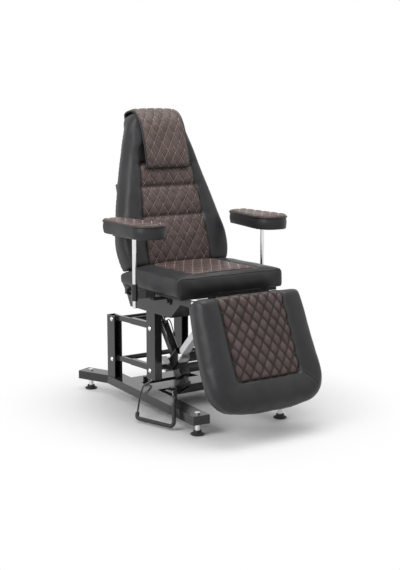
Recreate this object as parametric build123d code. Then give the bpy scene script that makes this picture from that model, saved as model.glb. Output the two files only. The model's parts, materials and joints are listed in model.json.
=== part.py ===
"""Tattoo chair with a powered parallel-arm lift, a reclining back and a raising leg rest.

Millimetres, +Z up. The sitter faces -Y, so the sitter's right-hand side is -X.
Everything is laid out with y = 0 on the line of the two front feet and z = 0 on the floor,
and is moved back by ORIGIN_Y when it is written, so that the origin is under the middle of the chair.
"""
from build123d import *
import os
from math import atan2, cos, degrees, hypot, pi, radians, sin, tan

os.makedirs("parts", exist_ok=True)

# Driving dimensions of the whole chair
ORIGIN_Y = 359.6
OVERRUN = 20.0
REST_GAP = 0.3
PIN_PLAY = 0.05
SEAT_GAP = 1.0

# Side rails and feet
RAIL_WIDTH = 80.0
RAIL_HEIGHT = 40.0
RAIL_WALL = 3.0
RAIL_UNDERSIDE = 54.0
RAIL_FRONT_Y = -35.0
RAIL_FRONT_X = 228.0
RAIL_BEND_Y = 805.0
RAIL_BEND_X = 173.0
RAIL_REAR_Y = 975.0
RAIL_REAR_X = 246.0
CAP_PLATE = 3.0
CAP_PLUG_LENGTH = 14.0
FOOT_FRONT_Y = 0.0
FOOT_REAR_Y = 936.0
FOOT_STEM_RADIUS = 12.0
FOOT_STEM_STANDING = 6.0
FOOT_PAD_RADIUS = 30.0
FOOT_PAD_HEIGHT = 20.0
FOOT_COLLAR_RADIUS = 18.0
FOOT_RIM_SHARE = 0.3
FOOT_WAIST_SHARE = 0.62
FOOT_NUT_RADIUS = 18.0
FOOT_NUT_HEIGHT = 8.0

# Cross members of the base
FRONT_MEMBER_Y = 430.0
FRONT_MEMBER_DEPTH = 114.0
REAR_MEMBER_Y = 592.0
REAR_MEMBER_DEPTH = 104.0
MEMBER_WALL = 3.0

# Uprights and parallel lift arms
ARM_X = 192.0
UPRIGHT_WIDTH = 42.0
UPRIGHT_REAR_Y = 795.0
UPRIGHT_DEPTH = 68.0
UPRIGHT_TOP = 397.5
CHANNEL_WALL = 4.0
REAR_PIVOT_Y = 748.0
UPPER_PIVOT_Z = 382.0
PIVOT_SPACING = 197.0
ARM_LENGTH = 343.0
ARM_REST_TILT = 2.0
ARM_RISE = 10.0
ARM_HEIGHT = 28.0
ARM_THICKNESS = 22.0
ARM_TONGUE_LENGTH = 156.0
ARM_TONGUE_HEIGHT = 24.0
ARM_TONGUE_THICKNESS = 12.0
ARM_BOSS_RADIUS = 15.0
BOLT_RADIUS = 6.0
BOLT_HEAD_RADIUS = 11.0
BOLT_HEAD_HEIGHT = 7.0
BOLT_DOME_SHARE = 0.6
CROSS_TUBE_RADIUS = 12.0
CROSS_TUBE_FROM_REAR = 62.0

# Carrier posts and seat housing
CARRIER_WIDTH = 38.0
CARRIER_DEPTH = 72.0
CARRIER_BOTTOM = 158.0
CARRIER_TOP = 560.0
BEAM_SIZE = 24.0
HOUSING_SHEET = 3.0
HOUSING_BOTTOM = 472.0
HOUSING_FRONT_SHEET = 3.6
HOUSING_NOSE = 19.2
HOUSING_FRONT_LOW_Y = 228.0
HOUSING_FRONT_HIGH_Y = 150.0
HOUSING_REAR_LOW_Y = 572.0
HOUSING_REAR_KNEE_Y = 606.0
HOUSING_REAR_KNEE_Z = 532.0
HOUSING_REAR_TOP_Y = 648.0
SEAT_BOARD_THICKNESS = 15.0
SEAT_BOARD_TOP = 591.0

# Seat cushion
SEAT_FRONT_Y = 62.0
SEAT_REAR_Y = 546.0
SEAT_HALF_WIDTH = 286.0
SEAT_HEIGHT = 92.0
SEAT_CROWN = 9.0
SEAT_CORNER_RADIUS = 20.0
SEAT_FRONT_BOW = 3.0
SEAT_LONG_CROWN = 3.0
SEAT_BACK_GAP = 6.0
SEAT_SIDE_DRAW = 9.0
SEAT_BORDER_SIDE = 113.0
SEAT_BORDER_FRONT = 52.0
SEAT_PANEL_DEPTH = 7.0
SEAT_PANEL_CROWN = 6.0
SEAT_PANEL_EDGE_RISE = 2.0

# Backrest, in its own frame: local z runs up the back, local y = 0 is the rear of its board
BACK_RECLINE = 16.0
BACK_FOOT_Y = 562.0
BACK_FOOT_Z = 631.0
BACK_LENGTH = 748.0
BACK_THICKNESS = 116.0
BACK_BOARD_THICKNESS = 12.0
BACK_BOARD_MARGIN = 16.0
BACK_FOOT_HALF_WIDTH = 270.0
BACK_WIDEST_HALF_WIDTH = 292.0
BACK_WIDEST_HEIGHT = 118.0
BACK_KNEE_HEIGHT = 200.0
BACK_TOP_HALF_WIDTH = 146.0
BACK_TOP_RADIUS = 60.0
BACK_CAP_SHARE = 0.85
BACK_SHOULDER_IN_SHARE = 0.2
BACK_SHOULDER_DOWN_SHARE = 0.32
BACK_BULGE = 14.0
BACK_PANEL_SUNK = 20.0
BACK_PANEL_FOOT_HALF_WIDTH = 172.0
BACK_PANEL_WAIST_HALF_WIDTH = 167.0
BACK_PANEL_WAIST_SHARE = 0.43
BACK_PANEL_TOP_HALF_WIDTH = 130.0
BACK_PANEL_TOP_HEIGHT = 560.0
BACK_CHANNEL_DEPTH = 15.0
BACK_SEAM_RISE = 5.0
BACK_HINGE_Y = 560.0
BACK_HINGE_Z = 560.0
BACK_BAR_WIDTH = 25.0
BACK_BAR_DEPTH = 20.0
BACK_BAR_TOP = 420.0
BACK_BAR_SET_BACK = 6.0
HEADREST_HALF_WIDTH = 118.0
HEADREST_TOP_HALF_WIDTH = 108.0
HEADREST_DROP = 285.0
HEADREST_REAR_DROP = 110.0
HEADREST_THICKNESS = 24.0
HEADREST_TOP_THICKNESS = 7.0
HEADREST_SHOULDER_THICKNESS = 17.0
HEADREST_HEM_THICKNESS = 14.0
HEADREST_HEM_RISE = 6.0
HEADREST_TAIL_THICKNESS = 8.0

# Leg rest, in its own frame: local z runs up the pad, local y = 0 is the rear of its board
LEG_HANG = 23.5
LEG_TOP_Y = 26.0
LEG_TOP_Z = 572.0
LEG_LENGTH = 506.0
LEG_THICKNESS = 112.0
LEG_BOARD_THICKNESS = 14.0
LEG_BOARD_MARGIN = 22.0
LEG_TOP_HALF_WIDTH = 278.0
LEG_WIDEST_HALF_WIDTH = 297.0
LEG_WIDEST_DROP = 300.0
LEG_CORNER_RADIUS = 120.0
LEG_FOOT_BOW = 10.0
LEG_SIDE_DRAW_SHARE = 0.25
LEG_FULLEST_SHARE = 0.67
LEG_PANEL_HALF_WIDTH = 171.0
LEG_FOOT_BOLSTER = 128.0
LEG_PANEL_SUNK = 14.0
LEG_PANEL_CROWN = 9.0
LEG_HINGE_Y = 50.0
LEG_HINGE_Z = 562.0
LEG_BAR_WIDTH = 25.0
LEG_BAR_DEPTH = 20.0
LEG_BAR_LENGTH = 380.0
HINGE_TUBE_RADIUS = 13.0
HINGE_PIN_RADIUS = 8.0
HINGE_PIN_HEAD_RADIUS = 11.2

# Armrests
POST_X = 350.0
POST_Y = 306.0
POST_RADIUS = 9.0
POST_BOTTOM = 519.0
POST_TOP = 852.0
CLAMP_RADIUS = 14.0
CLAMP_BOTTOM = 552.0
CLAMP_HEIGHT = 74.0
CLAMP_BOSS_RADIUS = 9.0
CLAMP_BOSS_REACH = 18.0
BRACKET_THICKNESS = 7.5
BRACKET_DROP = 15.0
BRACKET_REACH = 84.0
BRACKET_STRAP_WIDTH = 36.0
BRACKET_BOLT_RADIUS = 9.0
POST_INTO_PAD = 23.0
PAD_PLATE_THICKNESS = 6.0
PAD_PLATE_HALF_WIDTH = 30.0
PAD_PLATE_FRONT = 89.0
PAD_PLATE_REAR = 121.0
PAD_BOSS_RADIUS = 14.0
PAD_BOSS_HEIGHT = 22.0
PAD_HEIGHT = 60.0
PAD_CROWN = 9.0
PAD_REAR = 202.0
PAD_FRONT = 162.0
PAD_REAR_HALF_WIDTH = 50.0
PAD_REAR_CORNER = 12.0
PAD_FRONT_HALF_WIDTH = 80.0
PAD_TOE_IN = 4.0
PAD_SHIFT_IN = 14.0
PAD_PANEL_MARGIN = 9.0
PAD_PANEL_DEPTH = 6.0
KNOB_RADIUS = 18.0
KNOB_BAY_REACH_SHARE = 1.12
KNOB_BAY_SHARE = 0.28
KNOB_THICKNESS = 16.0
KNOB_SCREW_RADIUS = 4.0
KNOB_STAND_OFF = 26.0

# Linear actuators: a gearbox with its motor and guide tube, and a rod with a slotted eye
LIFT_ACTUATOR_X = -50.0
LIFT_FOOT_Y = 350.0
LIFT_FOOT_Z = 125.0
LIFT_LUG_RADIUS = 173.0
LIFT_LUG_ANGLE = 12.0
LIFT_RETRACTION = 16.0
LIFT_SLOT_SHIFT = -1.2
LIFT_SLOT_PLAY = 7.0
LIFT_SLOT_SLACK = 1.2
BACK_ACTUATOR_X = 62.0
BACK_ACTUATOR_Y = 262.0
BACK_ACTUATOR_Z = 512.0
BACK_CRANK_RADIUS = 45.0
BACK_CRANK_ANGLE = 35.0
BACK_RETRACTION = 58.0
BACK_SLOT_SHIFT = 4.6
BACK_SLOT_PLAY = 5.0
BACK_SLOT_SLACK = 1.0
LEG_ACTUATOR_X = -130.0
LEG_ACTUATOR_Y = 340.0
LEG_ACTUATOR_Z = 215.0
LEG_CRANK_RADIUS = 60.0
LEG_CRANK_ANGLE = 0.0
LEG_RETRACTION = 6.0
LEG_SLOT_SHIFT = -5.1
LEG_SLOT_PLAY = 5.6
LEG_SLOT_SLACK = 2.4
EYE_RADIUS = 13.0
NECK_LENGTH = 36.0
EYE_THICKNESS = 20.0
EYE_WALL = 6.0
ACTUATOR_PIN_RADIUS = 5.0
GUIDE_WIDTH = 38.0
GUIDE_DEPTH = 34.0
GUIDE_LONG_SHARE = 0.86
GUIDE_SHORT_SHARE = 0.68
GEARBOX_WIDTH = 56.0
GEARBOX_DEPTH = 62.0
GEARBOX_HEIGHT = 82.0
MOTOR_RADIUS = 23.0
MOTOR_LENGTH = 72.0
ROD_RADIUS = 10.0
LUG_THICKNESS = 5.0
LUG_GAP = 0.6
LUG_RADIUS = 12.0
LUG_TIP_SHARE = 0.8

# Foot control bar
PEDAL_AXIS_X = -118.0
PEDAL_AXIS_Z = 108.0
PEDAL_FRONT_Y = 346.0
PEDAL_ROD_RADIUS = 4.0
PEDAL_SLEEVE_RADIUS = 9.0
PEDAL_LUG_THICKNESS = 12.0
PEDAL_LUG_HALF_WIDTH = 10.0
# Route of the rod as (x, y, z): from its rear pivot outwards, along the tread and back to its front pivot
PEDAL_REAR_ROUTE = (
    (-118.0, 612.0, 108.0),
    (-118.0, 540.0, 108.0),
    (-218.0, 454.0, 118.0),
    (-302.0, 352.0, 92.0),
)
PEDAL_TREAD_ROUTE = (
    (-344.0, 308.0, 19.0),
    (-283.0, 96.0, 19.0),
)
PEDAL_FRONT_ROUTE = (
    (-272.0, 114.0, 146.0),
    (-200.0, 236.0, 134.0),
    (-118.0, 330.0, 108.0),
    (-118.0, 384.0, 108.0),
)
PEDAL_BENDS = (30.0, 30.0, 26.0, 20.0, 24.0, 22.0, 24.0, 16.0)
PEDAL_SLEEVE_START_SHARE = 0.72
PEDAL_SLEEVE_END_SHARE = 0.78

# Control box and the short motor lead that hangs from it
BOX_X = -166.0
BOX_WIDTH = 86.0
BOX_Y = 330.0
BOX_DEPTH = 110.0
BOX_HEIGHT = 62.0
GLAND_RADIUS = 6.0
LEAD_RADIUS = 2.5
ROUTE_ARC_SHARE = 0.45
# Route of the lead as (x, y, z), straight down out of the box, over and down to its connector
LEAD_ROUTE = (
    (-150.0, 372.0, 514.0),
    (-150.0, 372.0, 486.0),
    (-152.0, 374.0, 452.0),
    (-162.0, 356.0, 426.0),
    (-172.0, 330.0, 428.0),
    (-178.0, 304.0, 452.0),
    (-184.0, 278.0, 450.0),
    (-188.0, 256.0, 428.0),
    (-190.0, 241.0, 402.0),
)
CONNECTOR_LENGTH = 16.0
CONNECTOR_WIDTH = 9.0
CONNECTOR_DEPTH = 7.2

# Sizes worked out from the driving dimensions
PEDAL_ROUTE = PEDAL_REAR_ROUTE + PEDAL_TREAD_ROUTE + PEDAL_FRONT_ROUTE
RAIL_TOP = RAIL_UNDERSIDE + RAIL_HEIGHT
PAD_PLATE_Z = POST_TOP - POST_INTO_PAD
LOWER_PIVOT_Z = UPPER_PIVOT_Z - PIVOT_SPACING
FRONT_PIVOT_Y = REAR_PIVOT_Y - ARM_LENGTH * cos(radians(ARM_REST_TILT))
FRONT_PIVOT_RISE = ARM_LENGTH * sin(radians(ARM_REST_TILT))
CARRIER_FRONT_Y = FRONT_PIVOT_Y - CARRIER_DEPTH / 2 - CHANNEL_WALL
CARRIER_OUTER_X = ARM_X + CARRIER_WIDTH / 2
HOUSING_OUTER_X = CARRIER_OUTER_X + HOUSING_SHEET
SEAT_BOARD_UNDERSIDE = SEAT_BOARD_TOP - SEAT_BOARD_THICKNESS
LIFT_LUG_RISE = radians(LIFT_LUG_ANGLE + ARM_REST_TILT)
LIFT_EYE_Y = REAR_PIVOT_Y - LIFT_LUG_RADIUS * cos(LIFT_LUG_RISE)
LIFT_EYE_Z = UPPER_PIVOT_Z + LIFT_LUG_RADIUS * sin(LIFT_LUG_RISE)
BACK_EYE_Y = BACK_HINGE_Y + BACK_CRANK_RADIUS * sin(radians(BACK_CRANK_ANGLE))
BACK_EYE_Z = BACK_HINGE_Z - BACK_CRANK_RADIUS * cos(radians(BACK_CRANK_ANGLE))
LEG_EYE_Y = LEG_HINGE_Y + LEG_CRANK_RADIUS * sin(radians(LEG_CRANK_ANGLE))
LEG_EYE_Z = LEG_HINGE_Z - LEG_CRANK_RADIUS * cos(radians(LEG_CRANK_ANGLE))

written = {}


def save(name, shape):
    """Moves a finished piece into the kept frame and writes it as one node."""
    moved = Pos(0, -ORIGIN_Y, 0) * shape
    written[name] = moved
    export_step(moved, "parts/" + name + ".step")


def block(x0, x1, y0, y1, z0, z1):
    """A box between two corners, given as low and high values on each axis."""
    middle = ((x0 + x1) / 2, (y0 + y1) / 2, (z0 + z1) / 2)
    return Pos(*middle) * Box(abs(x1 - x0), abs(y1 - y0), abs(z1 - z0))


def rod_x(x0, x1, y, z, radius):
    """A cylinder along X."""
    return Pos((x0 + x1) / 2, y, z) * Rot(Y=90) * Cylinder(radius, abs(x1 - x0))


def rod_y(y0, y1, x, z, radius):
    """A cylinder along Y."""
    return Pos(x, (y0 + y1) / 2, z) * Rot(X=90) * Cylinder(radius, abs(y1 - y0))


def rod_z(z0, z1, x, y, radius):
    """A cylinder along Z."""
    return Pos(x, y, (z0 + z1) / 2) * Cylinder(radius, abs(z1 - z0))


def side_slab(points, x0, x1):
    """A plate whose outline is drawn in the Y-Z plane, between two X values."""
    face = make_face(Polyline(*[(0, y, z) for y, z in points], close=True))
    return Pos(min(x0, x1), 0, 0) * extrude(face, abs(x1 - x0), dir=(1, 0, 0))


def plan_slab(points, z0, z1):
    """A plate whose outline is drawn in the X-Y plane, between two Z values."""
    face = make_face(Polyline(*[(x, y, 0) for x, y in points], close=True))
    return Pos(0, 0, z0) * extrude(face, z1 - z0, dir=(0, 0, 1))


def left_of(shape):
    """The same piece on the sitter's left."""
    return mirror(shape, about=Plane.YZ)


def unit(a, b):
    """Unit direction from point a to point b in a plane."""
    length = hypot(b[0] - a[0], b[1] - a[1])
    return ((b[0] - a[0]) / length, (b[1] - a[1]) / length)


def band(points, half_width, run_out):
    """Outline of a bent strip of constant width with a mitred bend, run past both ends."""
    first = unit(points[0], points[1])
    last = unit(points[1], points[2])
    start = (points[0][0] - first[0] * run_out, points[0][1] - first[1] * run_out)
    end = (points[2][0] + last[0] * run_out, points[2][1] + last[1] * run_out)
    turn = atan2(last[1], last[0]) - atan2(first[1], first[0])
    mitre = half_width * tan(turn / 2)
    outline = []
    for side in (1, -1):
        offset = half_width * side
        row = [
            (start[0] - first[1] * offset, start[1] + first[0] * offset),
            (
                points[1][0] - first[1] * offset - first[0] * mitre * side,
                points[1][1] + first[0] * offset - first[1] * mitre * side,
            ),
            (end[0] - last[1] * offset, end[1] + last[0] * offset),
        ]
        outline += row if side > 0 else row[::-1]
    return outline


RAIL_LINE = ((-RAIL_FRONT_X, RAIL_FRONT_Y), (-RAIL_BEND_X, RAIL_BEND_Y), (-RAIL_REAR_X, RAIL_REAR_Y))


def rail_x(y):
    """X of the right rail's centre line at a given y."""
    low, high = (RAIL_LINE[0], RAIL_LINE[1]) if y <= RAIL_BEND_Y else (RAIL_LINE[1], RAIL_LINE[2])
    share = (y - low[1]) / (high[1] - low[1])
    return low[0] + share * (high[0] - low[0])


def rail_inner_x(y):
    """X of the right rail's inner face at a given y in front of the bend."""
    slope = unit(RAIL_LINE[0], RAIL_LINE[1])
    return rail_x(y) + RAIL_WIDTH / 2 / slope[1]


def rail():
    """One side rail: a rectangular tube, bent outwards at the rear, with a bore for each foot."""
    solid = plan_slab(band(RAIL_LINE, RAIL_WIDTH / 2, 0), RAIL_UNDERSIDE, RAIL_TOP)
    hollow = plan_slab(
        band(RAIL_LINE, RAIL_WIDTH / 2 - RAIL_WALL, OVERRUN), RAIL_UNDERSIDE + RAIL_WALL, RAIL_TOP - RAIL_WALL
    )
    solid -= hollow
    for y in (FOOT_FRONT_Y, FOOT_REAR_Y):
        bore = FOOT_STEM_RADIUS + PIN_PLAY
        solid -= rod_z(RAIL_UNDERSIDE - OVERRUN, RAIL_TOP + OVERRUN, rail_x(y), y, bore)
    return solid


def end_cap(end, inside):
    """A plastic plug that closes one end of a rail."""
    out = unit(inside, end)
    angle = degrees(atan2(out[1], out[0]))
    middle_z = RAIL_UNDERSIDE + RAIL_HEIGHT / 2
    plate = Pos(CAP_PLATE / 2, 0, 0) * Box(CAP_PLATE, RAIL_WIDTH, RAIL_HEIGHT)
    shrink = 2 * (RAIL_WALL + REST_GAP)
    plug = Pos(-CAP_PLUG_LENGTH / 2, 0, 0) * Box(CAP_PLUG_LENGTH, RAIL_WIDTH - shrink, RAIL_HEIGHT - shrink)
    return Pos(end[0], end[1], middle_z) * Rot(Z=angle) * (plate + plug)


def end_caps():
    """The four rail plugs."""
    right = [end_cap(RAIL_LINE[0], RAIL_LINE[1]), end_cap(RAIL_LINE[2], RAIL_LINE[1])]
    return Compound(children=right + [left_of(cap) for cap in right])


def foot_places():
    """X and Y of the four feet."""
    right = [(rail_x(y), y) for y in (FOOT_FRONT_Y, FOOT_REAR_Y)]
    return right + [(-x, y) for x, y in right]


def foot_stems():
    """Threaded stems that pass up through the rails."""
    stems = []
    for x, y in foot_places():
        stems.append(rod_z(FOOT_PAD_HEIGHT, RAIL_TOP + FOOT_STEM_STANDING, x, y, FOOT_STEM_RADIUS))
    return Compound(children=stems)


def foot_nuts():
    """Hexagonal lock nuts against the rails' undersides."""
    nuts = []
    for x, y in foot_places():
        hexagon = extrude(RegularPolygon(FOOT_NUT_RADIUS, 6), FOOT_NUT_HEIGHT)
        bore = rod_z(-OVERRUN, FOOT_NUT_HEIGHT + OVERRUN, 0, 0, FOOT_STEM_RADIUS + PIN_PLAY)
        nuts.append(Pos(x, y, RAIL_UNDERSIDE - FOOT_NUT_HEIGHT) * (hexagon - bore))
    return Compound(children=nuts)


def foot_pads():
    """Rubber feet: a flared disc with a raised collar that holds the stem."""
    pads = []
    rim = FOOT_PAD_HEIGHT * FOOT_RIM_SHARE
    waist = FOOT_PAD_HEIGHT * FOOT_WAIST_SHARE
    collar = FOOT_COLLAR_RADIUS
    for x, y in foot_places():
        profile = Polyline(
            (0, 0, 0),
            (FOOT_PAD_RADIUS - rim / 2, 0, 0),
            (FOOT_PAD_RADIUS, 0, rim / 2),
            (FOOT_PAD_RADIUS, 0, rim),
            (collar, 0, waist),
            (collar, 0, FOOT_PAD_HEIGHT),
            (0, 0, FOOT_PAD_HEIGHT),
            close=True,
        )
        pads.append(Pos(x, y, 0) * revolve(make_face(profile), Axis.Z))
    return Compound(children=pads)


def member(front_y, depth):
    """A flat rectangular tube between the rails, its ends cut to the rails' inner faces."""
    rear_y = front_y + depth
    outline = [
        (rail_inner_x(front_y), front_y),
        (-rail_inner_x(front_y), front_y),
        (-rail_inner_x(rear_y), rear_y),
        (rail_inner_x(rear_y), rear_y),
    ]
    solid = plan_slab(outline, RAIL_UNDERSIDE, RAIL_TOP)
    inner_y = (front_y + MEMBER_WALL, rear_y - MEMBER_WALL)
    half = RAIL_FRONT_X + OVERRUN
    return solid - block(-half, half, *inner_y, RAIL_UNDERSIDE + MEMBER_WALL, RAIL_TOP - MEMBER_WALL)


def lug_pair(x, points, hole_y, hole_z, hole_radius):
    """Two plates on either side of an actuator eye, with a hole through both."""
    plates = []
    inner = EYE_THICKNESS / 2 + LUG_GAP
    outer = inner + LUG_THICKNESS
    for side in (-1, 1):
        plate = side_slab(points, x + side * inner, x + side * outer)
        plates.append(plate - rod_x(x - outer - OVERRUN, x + outer + OVERRUN, hole_y, hole_z, hole_radius))
    return plates


def front_member():
    """The front cross member with the lift actuator's foot lugs and the foot bar's front lug."""
    solid = member(FRONT_MEMBER_Y, FRONT_MEMBER_DEPTH)
    foot = LUG_RADIUS
    lugs = [
        (LIFT_FOOT_Y - foot, LIFT_FOOT_Z - foot),
        (LIFT_FOOT_Y - foot, LIFT_FOOT_Z + foot),
        (LIFT_FOOT_Y + foot / 2, LIFT_FOOT_Z + foot),
        (FRONT_MEMBER_Y, RAIL_TOP),
        (FRONT_MEMBER_Y, RAIL_UNDERSIDE + RAIL_WALL),
    ]
    for plate in lug_pair(LIFT_ACTUATOR_X, lugs, LIFT_FOOT_Y, LIFT_FOOT_Z, ACTUATOR_PIN_RADIUS + PIN_PLAY):
        solid += plate
    x0 = PEDAL_AXIS_X - PEDAL_LUG_HALF_WIDTH
    x1 = PEDAL_AXIS_X + PEDAL_LUG_HALF_WIDTH
    arm_top = RAIL_TOP - PEDAL_ROD_RADIUS
    lug_front = PEDAL_FRONT_Y - PEDAL_LUG_THICKNESS / 2
    lug_rear = PEDAL_FRONT_Y + PEDAL_LUG_THICKNESS / 2
    solid += block(x0, x1, lug_front, FRONT_MEMBER_Y, RAIL_UNDERSIDE + RAIL_WALL, arm_top)
    solid += block(x0, x1, lug_front, lug_rear, arm_top, PEDAL_AXIS_Z + PEDAL_LUG_HALF_WIDTH)
    bore = PEDAL_ROD_RADIUS + PIN_PLAY
    return solid - rod_y(lug_front - OVERRUN, lug_rear + OVERRUN, PEDAL_AXIS_X, PEDAL_AXIS_Z, bore)


def rear_member():
    """The rear cross member with the foot bar's rear lug on top."""
    solid = member(REAR_MEMBER_Y, REAR_MEMBER_DEPTH)
    x0 = PEDAL_AXIS_X - PEDAL_LUG_HALF_WIDTH
    x1 = PEDAL_AXIS_X + PEDAL_LUG_HALF_WIDTH
    y0 = REAR_MEMBER_Y
    y1 = REAR_MEMBER_Y + PEDAL_LUG_THICKNESS
    solid += block(x0, x1, y0, y1, RAIL_TOP, PEDAL_AXIS_Z + PEDAL_LUG_HALF_WIDTH)
    return solid - rod_y(y0 - OVERRUN, y1 + OVERRUN, PEDAL_AXIS_X, PEDAL_AXIS_Z, PEDAL_ROD_RADIUS + PIN_PLAY)


def channel(x, width, y0, y1, z0, z1, open_front):
    """A vertical U channel, open to the front or to the rear."""
    solid = block(x - width / 2, x + width / 2, y0, y1, z0, z1)
    half = width / 2 - CHANNEL_WALL
    hollow_y = (y0 - OVERRUN, y1 - CHANNEL_WALL) if open_front else (y0 + CHANNEL_WALL, y1 + OVERRUN)
    return solid - block(x - half, x + half, *hollow_y, z0 - OVERRUN, z1 + OVERRUN)


def pivot_holes(solid, x, width, y, rise):
    """Cuts the two pivot bolt holes through a channel's flanges."""
    for z in (UPPER_PIVOT_Z + rise, LOWER_PIVOT_Z + rise):
        half = width / 2 + OVERRUN
        solid -= rod_x(x - half, x + half, y, z, BOLT_RADIUS + PIN_PLAY)
    return solid


def upright():
    """A rear upright: a U channel that stands on its rail, open to the front."""
    y0 = UPRIGHT_REAR_Y - UPRIGHT_DEPTH
    solid = channel(-ARM_X, UPRIGHT_WIDTH, y0, UPRIGHT_REAR_Y, RAIL_TOP, UPRIGHT_TOP, True)
    return pivot_holes(solid, -ARM_X, UPRIGHT_WIDTH, REAR_PIVOT_Y, 0)


def carrier_post():
    """A carrier post: a U channel, open to the rear, that carries the seat housing."""
    y1 = CARRIER_FRONT_Y + CARRIER_DEPTH
    solid = channel(-ARM_X, CARRIER_WIDTH, CARRIER_FRONT_Y, y1, CARRIER_BOTTOM, CARRIER_TOP, False)
    return pivot_holes(solid, -ARM_X, CARRIER_WIDTH, FRONT_PIVOT_Y, FRONT_PIVOT_RISE)


def pivot_bolts(width, y, rise):
    """Four shouldered bolts through one pair of channels, each with a domed head and a nut."""
    bolts = []
    half_head = BOLT_HEAD_HEIGHT / 2
    for z in (UPPER_PIVOT_Z + rise, LOWER_PIVOT_Z + rise):
        outer = -ARM_X - width / 2
        inner = -ARM_X + width / 2
        bolt = rod_x(outer, inner, y, z, BOLT_RADIUS)
        bolt += rod_x(outer - half_head, outer, y, z, BOLT_HEAD_RADIUS)
        cone = Cone(BOLT_HEAD_RADIUS, BOLT_HEAD_RADIUS * BOLT_DOME_SHARE, half_head)
        bolt += Pos(outer - half_head - half_head / 2, y, z) * Rot(Y=-90) * cone
        nut = extrude(RegularPolygon(BOLT_HEAD_RADIUS, 6), BOLT_HEAD_HEIGHT)
        bolt += Pos(inner, y, z) * Rot(Y=90) * nut
        bolts += [bolt, left_of(bolt)]
    return Compound(children=bolts)


def lift_frame(pivot_z, with_lugs):
    """Two lift arms joined by a cross tube, drawn level with the rear pivot at y = 0, z = 0, then tilted.

    Each arm is a tube above the pivot line with a thinner tongue that reaches into the upright.
    """
    front = -ARM_LENGTH
    boss_rear = UPRIGHT_WIDTH / 2 - CHANNEL_WALL - REST_GAP
    boss_front = CARRIER_WIDTH / 2 - CHANNEL_WALL - REST_GAP
    half = ARM_THICKNESS / 2
    low = ARM_RISE - ARM_HEIGHT / 2
    arm = block(-ARM_X - half, -ARM_X + half, front, -ARM_TONGUE_LENGTH, low, low + ARM_HEIGHT)
    thin = ARM_TONGUE_THICKNESS / 2
    arm += block(-ARM_X - thin, -ARM_X + thin, -ARM_TONGUE_LENGTH, 0, low, low + ARM_TONGUE_HEIGHT)
    arm += rod_x(-ARM_X - boss_rear, -ARM_X + boss_rear, 0, 0, ARM_BOSS_RADIUS)
    arm += rod_x(-ARM_X - boss_front, -ARM_X + boss_front, front, 0, ARM_BOSS_RADIUS)
    for y in (0, front):
        arm -= rod_x(-ARM_X - UPRIGHT_WIDTH, -ARM_X + UPRIGHT_WIDTH, y, 0, BOLT_RADIUS + PIN_PLAY)
    tube_x = ARM_X - thin
    frame = arm + left_of(arm) + rod_x(-tube_x, tube_x, -CROSS_TUBE_FROM_REAR, ARM_RISE, CROSS_TUBE_RADIUS)
    if with_lugs:
        eye_y = -LIFT_LUG_RADIUS * cos(radians(LIFT_LUG_ANGLE))
        eye_z = LIFT_LUG_RADIUS * sin(radians(LIFT_LUG_ANGLE))
        second = eye_y + LUG_RADIUS * 2 + CROSS_TUBE_RADIUS
        frame += rod_x(-tube_x, tube_x, second, ARM_RISE, CROSS_TUBE_RADIUS)
        points = [
            (eye_y - LUG_RADIUS, eye_z - LUG_RADIUS),
            (eye_y, eye_z - LUG_RADIUS),
            (second - CROSS_TUBE_RADIUS / 2, ARM_RISE - CROSS_TUBE_RADIUS / 2),
            (second + CROSS_TUBE_RADIUS / 2, ARM_RISE + CROSS_TUBE_RADIUS / 2),
            (eye_y + LUG_RADIUS, eye_z + LUG_RADIUS),
            (eye_y - LUG_RADIUS, eye_z + LUG_RADIUS),
        ]
        for plate in lug_pair(LIFT_ACTUATOR_X, points, eye_y, eye_z, ACTUATOR_PIN_RADIUS / 2):
            frame += plate
        pin = EYE_THICKNESS / 2 + LUG_GAP + LUG_THICKNESS
        frame += rod_x(LIFT_ACTUATOR_X - pin, LIFT_ACTUATOR_X + pin, eye_y, eye_z, ACTUATOR_PIN_RADIUS)
    return Pos(0, REAR_PIVOT_Y, pivot_z) * Rot(X=-ARM_REST_TILT) * frame


# Side outline of the seat housing as (y, z), from the front bottom corner round to the nose of the leg hinge
HOUSING_OUTLINE = (
    (HOUSING_FRONT_LOW_Y, HOUSING_BOTTOM),
    (HOUSING_REAR_LOW_Y, HOUSING_BOTTOM),
    (HOUSING_REAR_KNEE_Y, HOUSING_REAR_KNEE_Z),
    (HOUSING_REAR_TOP_Y, SEAT_BOARD_UNDERSIDE),
    (LEG_HINGE_Y - HOUSING_NOSE, SEAT_BOARD_UNDERSIDE),
    (LEG_HINGE_Y - HOUSING_NOSE, LEG_HINGE_Z - HOUSING_NOSE),
    (HOUSING_FRONT_HIGH_Y, LEG_HINGE_Z - HOUSING_NOSE),
)


def housing_side():
    """Side plate of the seat housing, with both hinge bores and an inward flange under the seat board."""
    solid = side_slab(HOUSING_OUTLINE, -HOUSING_OUTER_X, -CARRIER_OUTER_X)
    bore = HINGE_PIN_RADIUS + PIN_PLAY
    for y, z in ((BACK_HINGE_Y, BACK_HINGE_Z), (LEG_HINGE_Y, LEG_HINGE_Z)):
        solid -= rod_x(-HOUSING_OUTER_X - OVERRUN, -CARRIER_OUTER_X + OVERRUN, y, z, bore)
    flange_rear = BACK_HINGE_Y - BACK_BAR_WIDTH * 2
    flange_front = LEG_HINGE_Y + LEG_BAR_WIDTH * 2
    inner = -CARRIER_OUTER_X + CARRIER_WIDTH
    flange_top = SEAT_BOARD_UNDERSIDE
    flange = block(-HOUSING_OUTER_X, inner, flange_front, flange_rear, flange_top - HOUSING_SHEET, flange_top)
    return solid + flange


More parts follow.
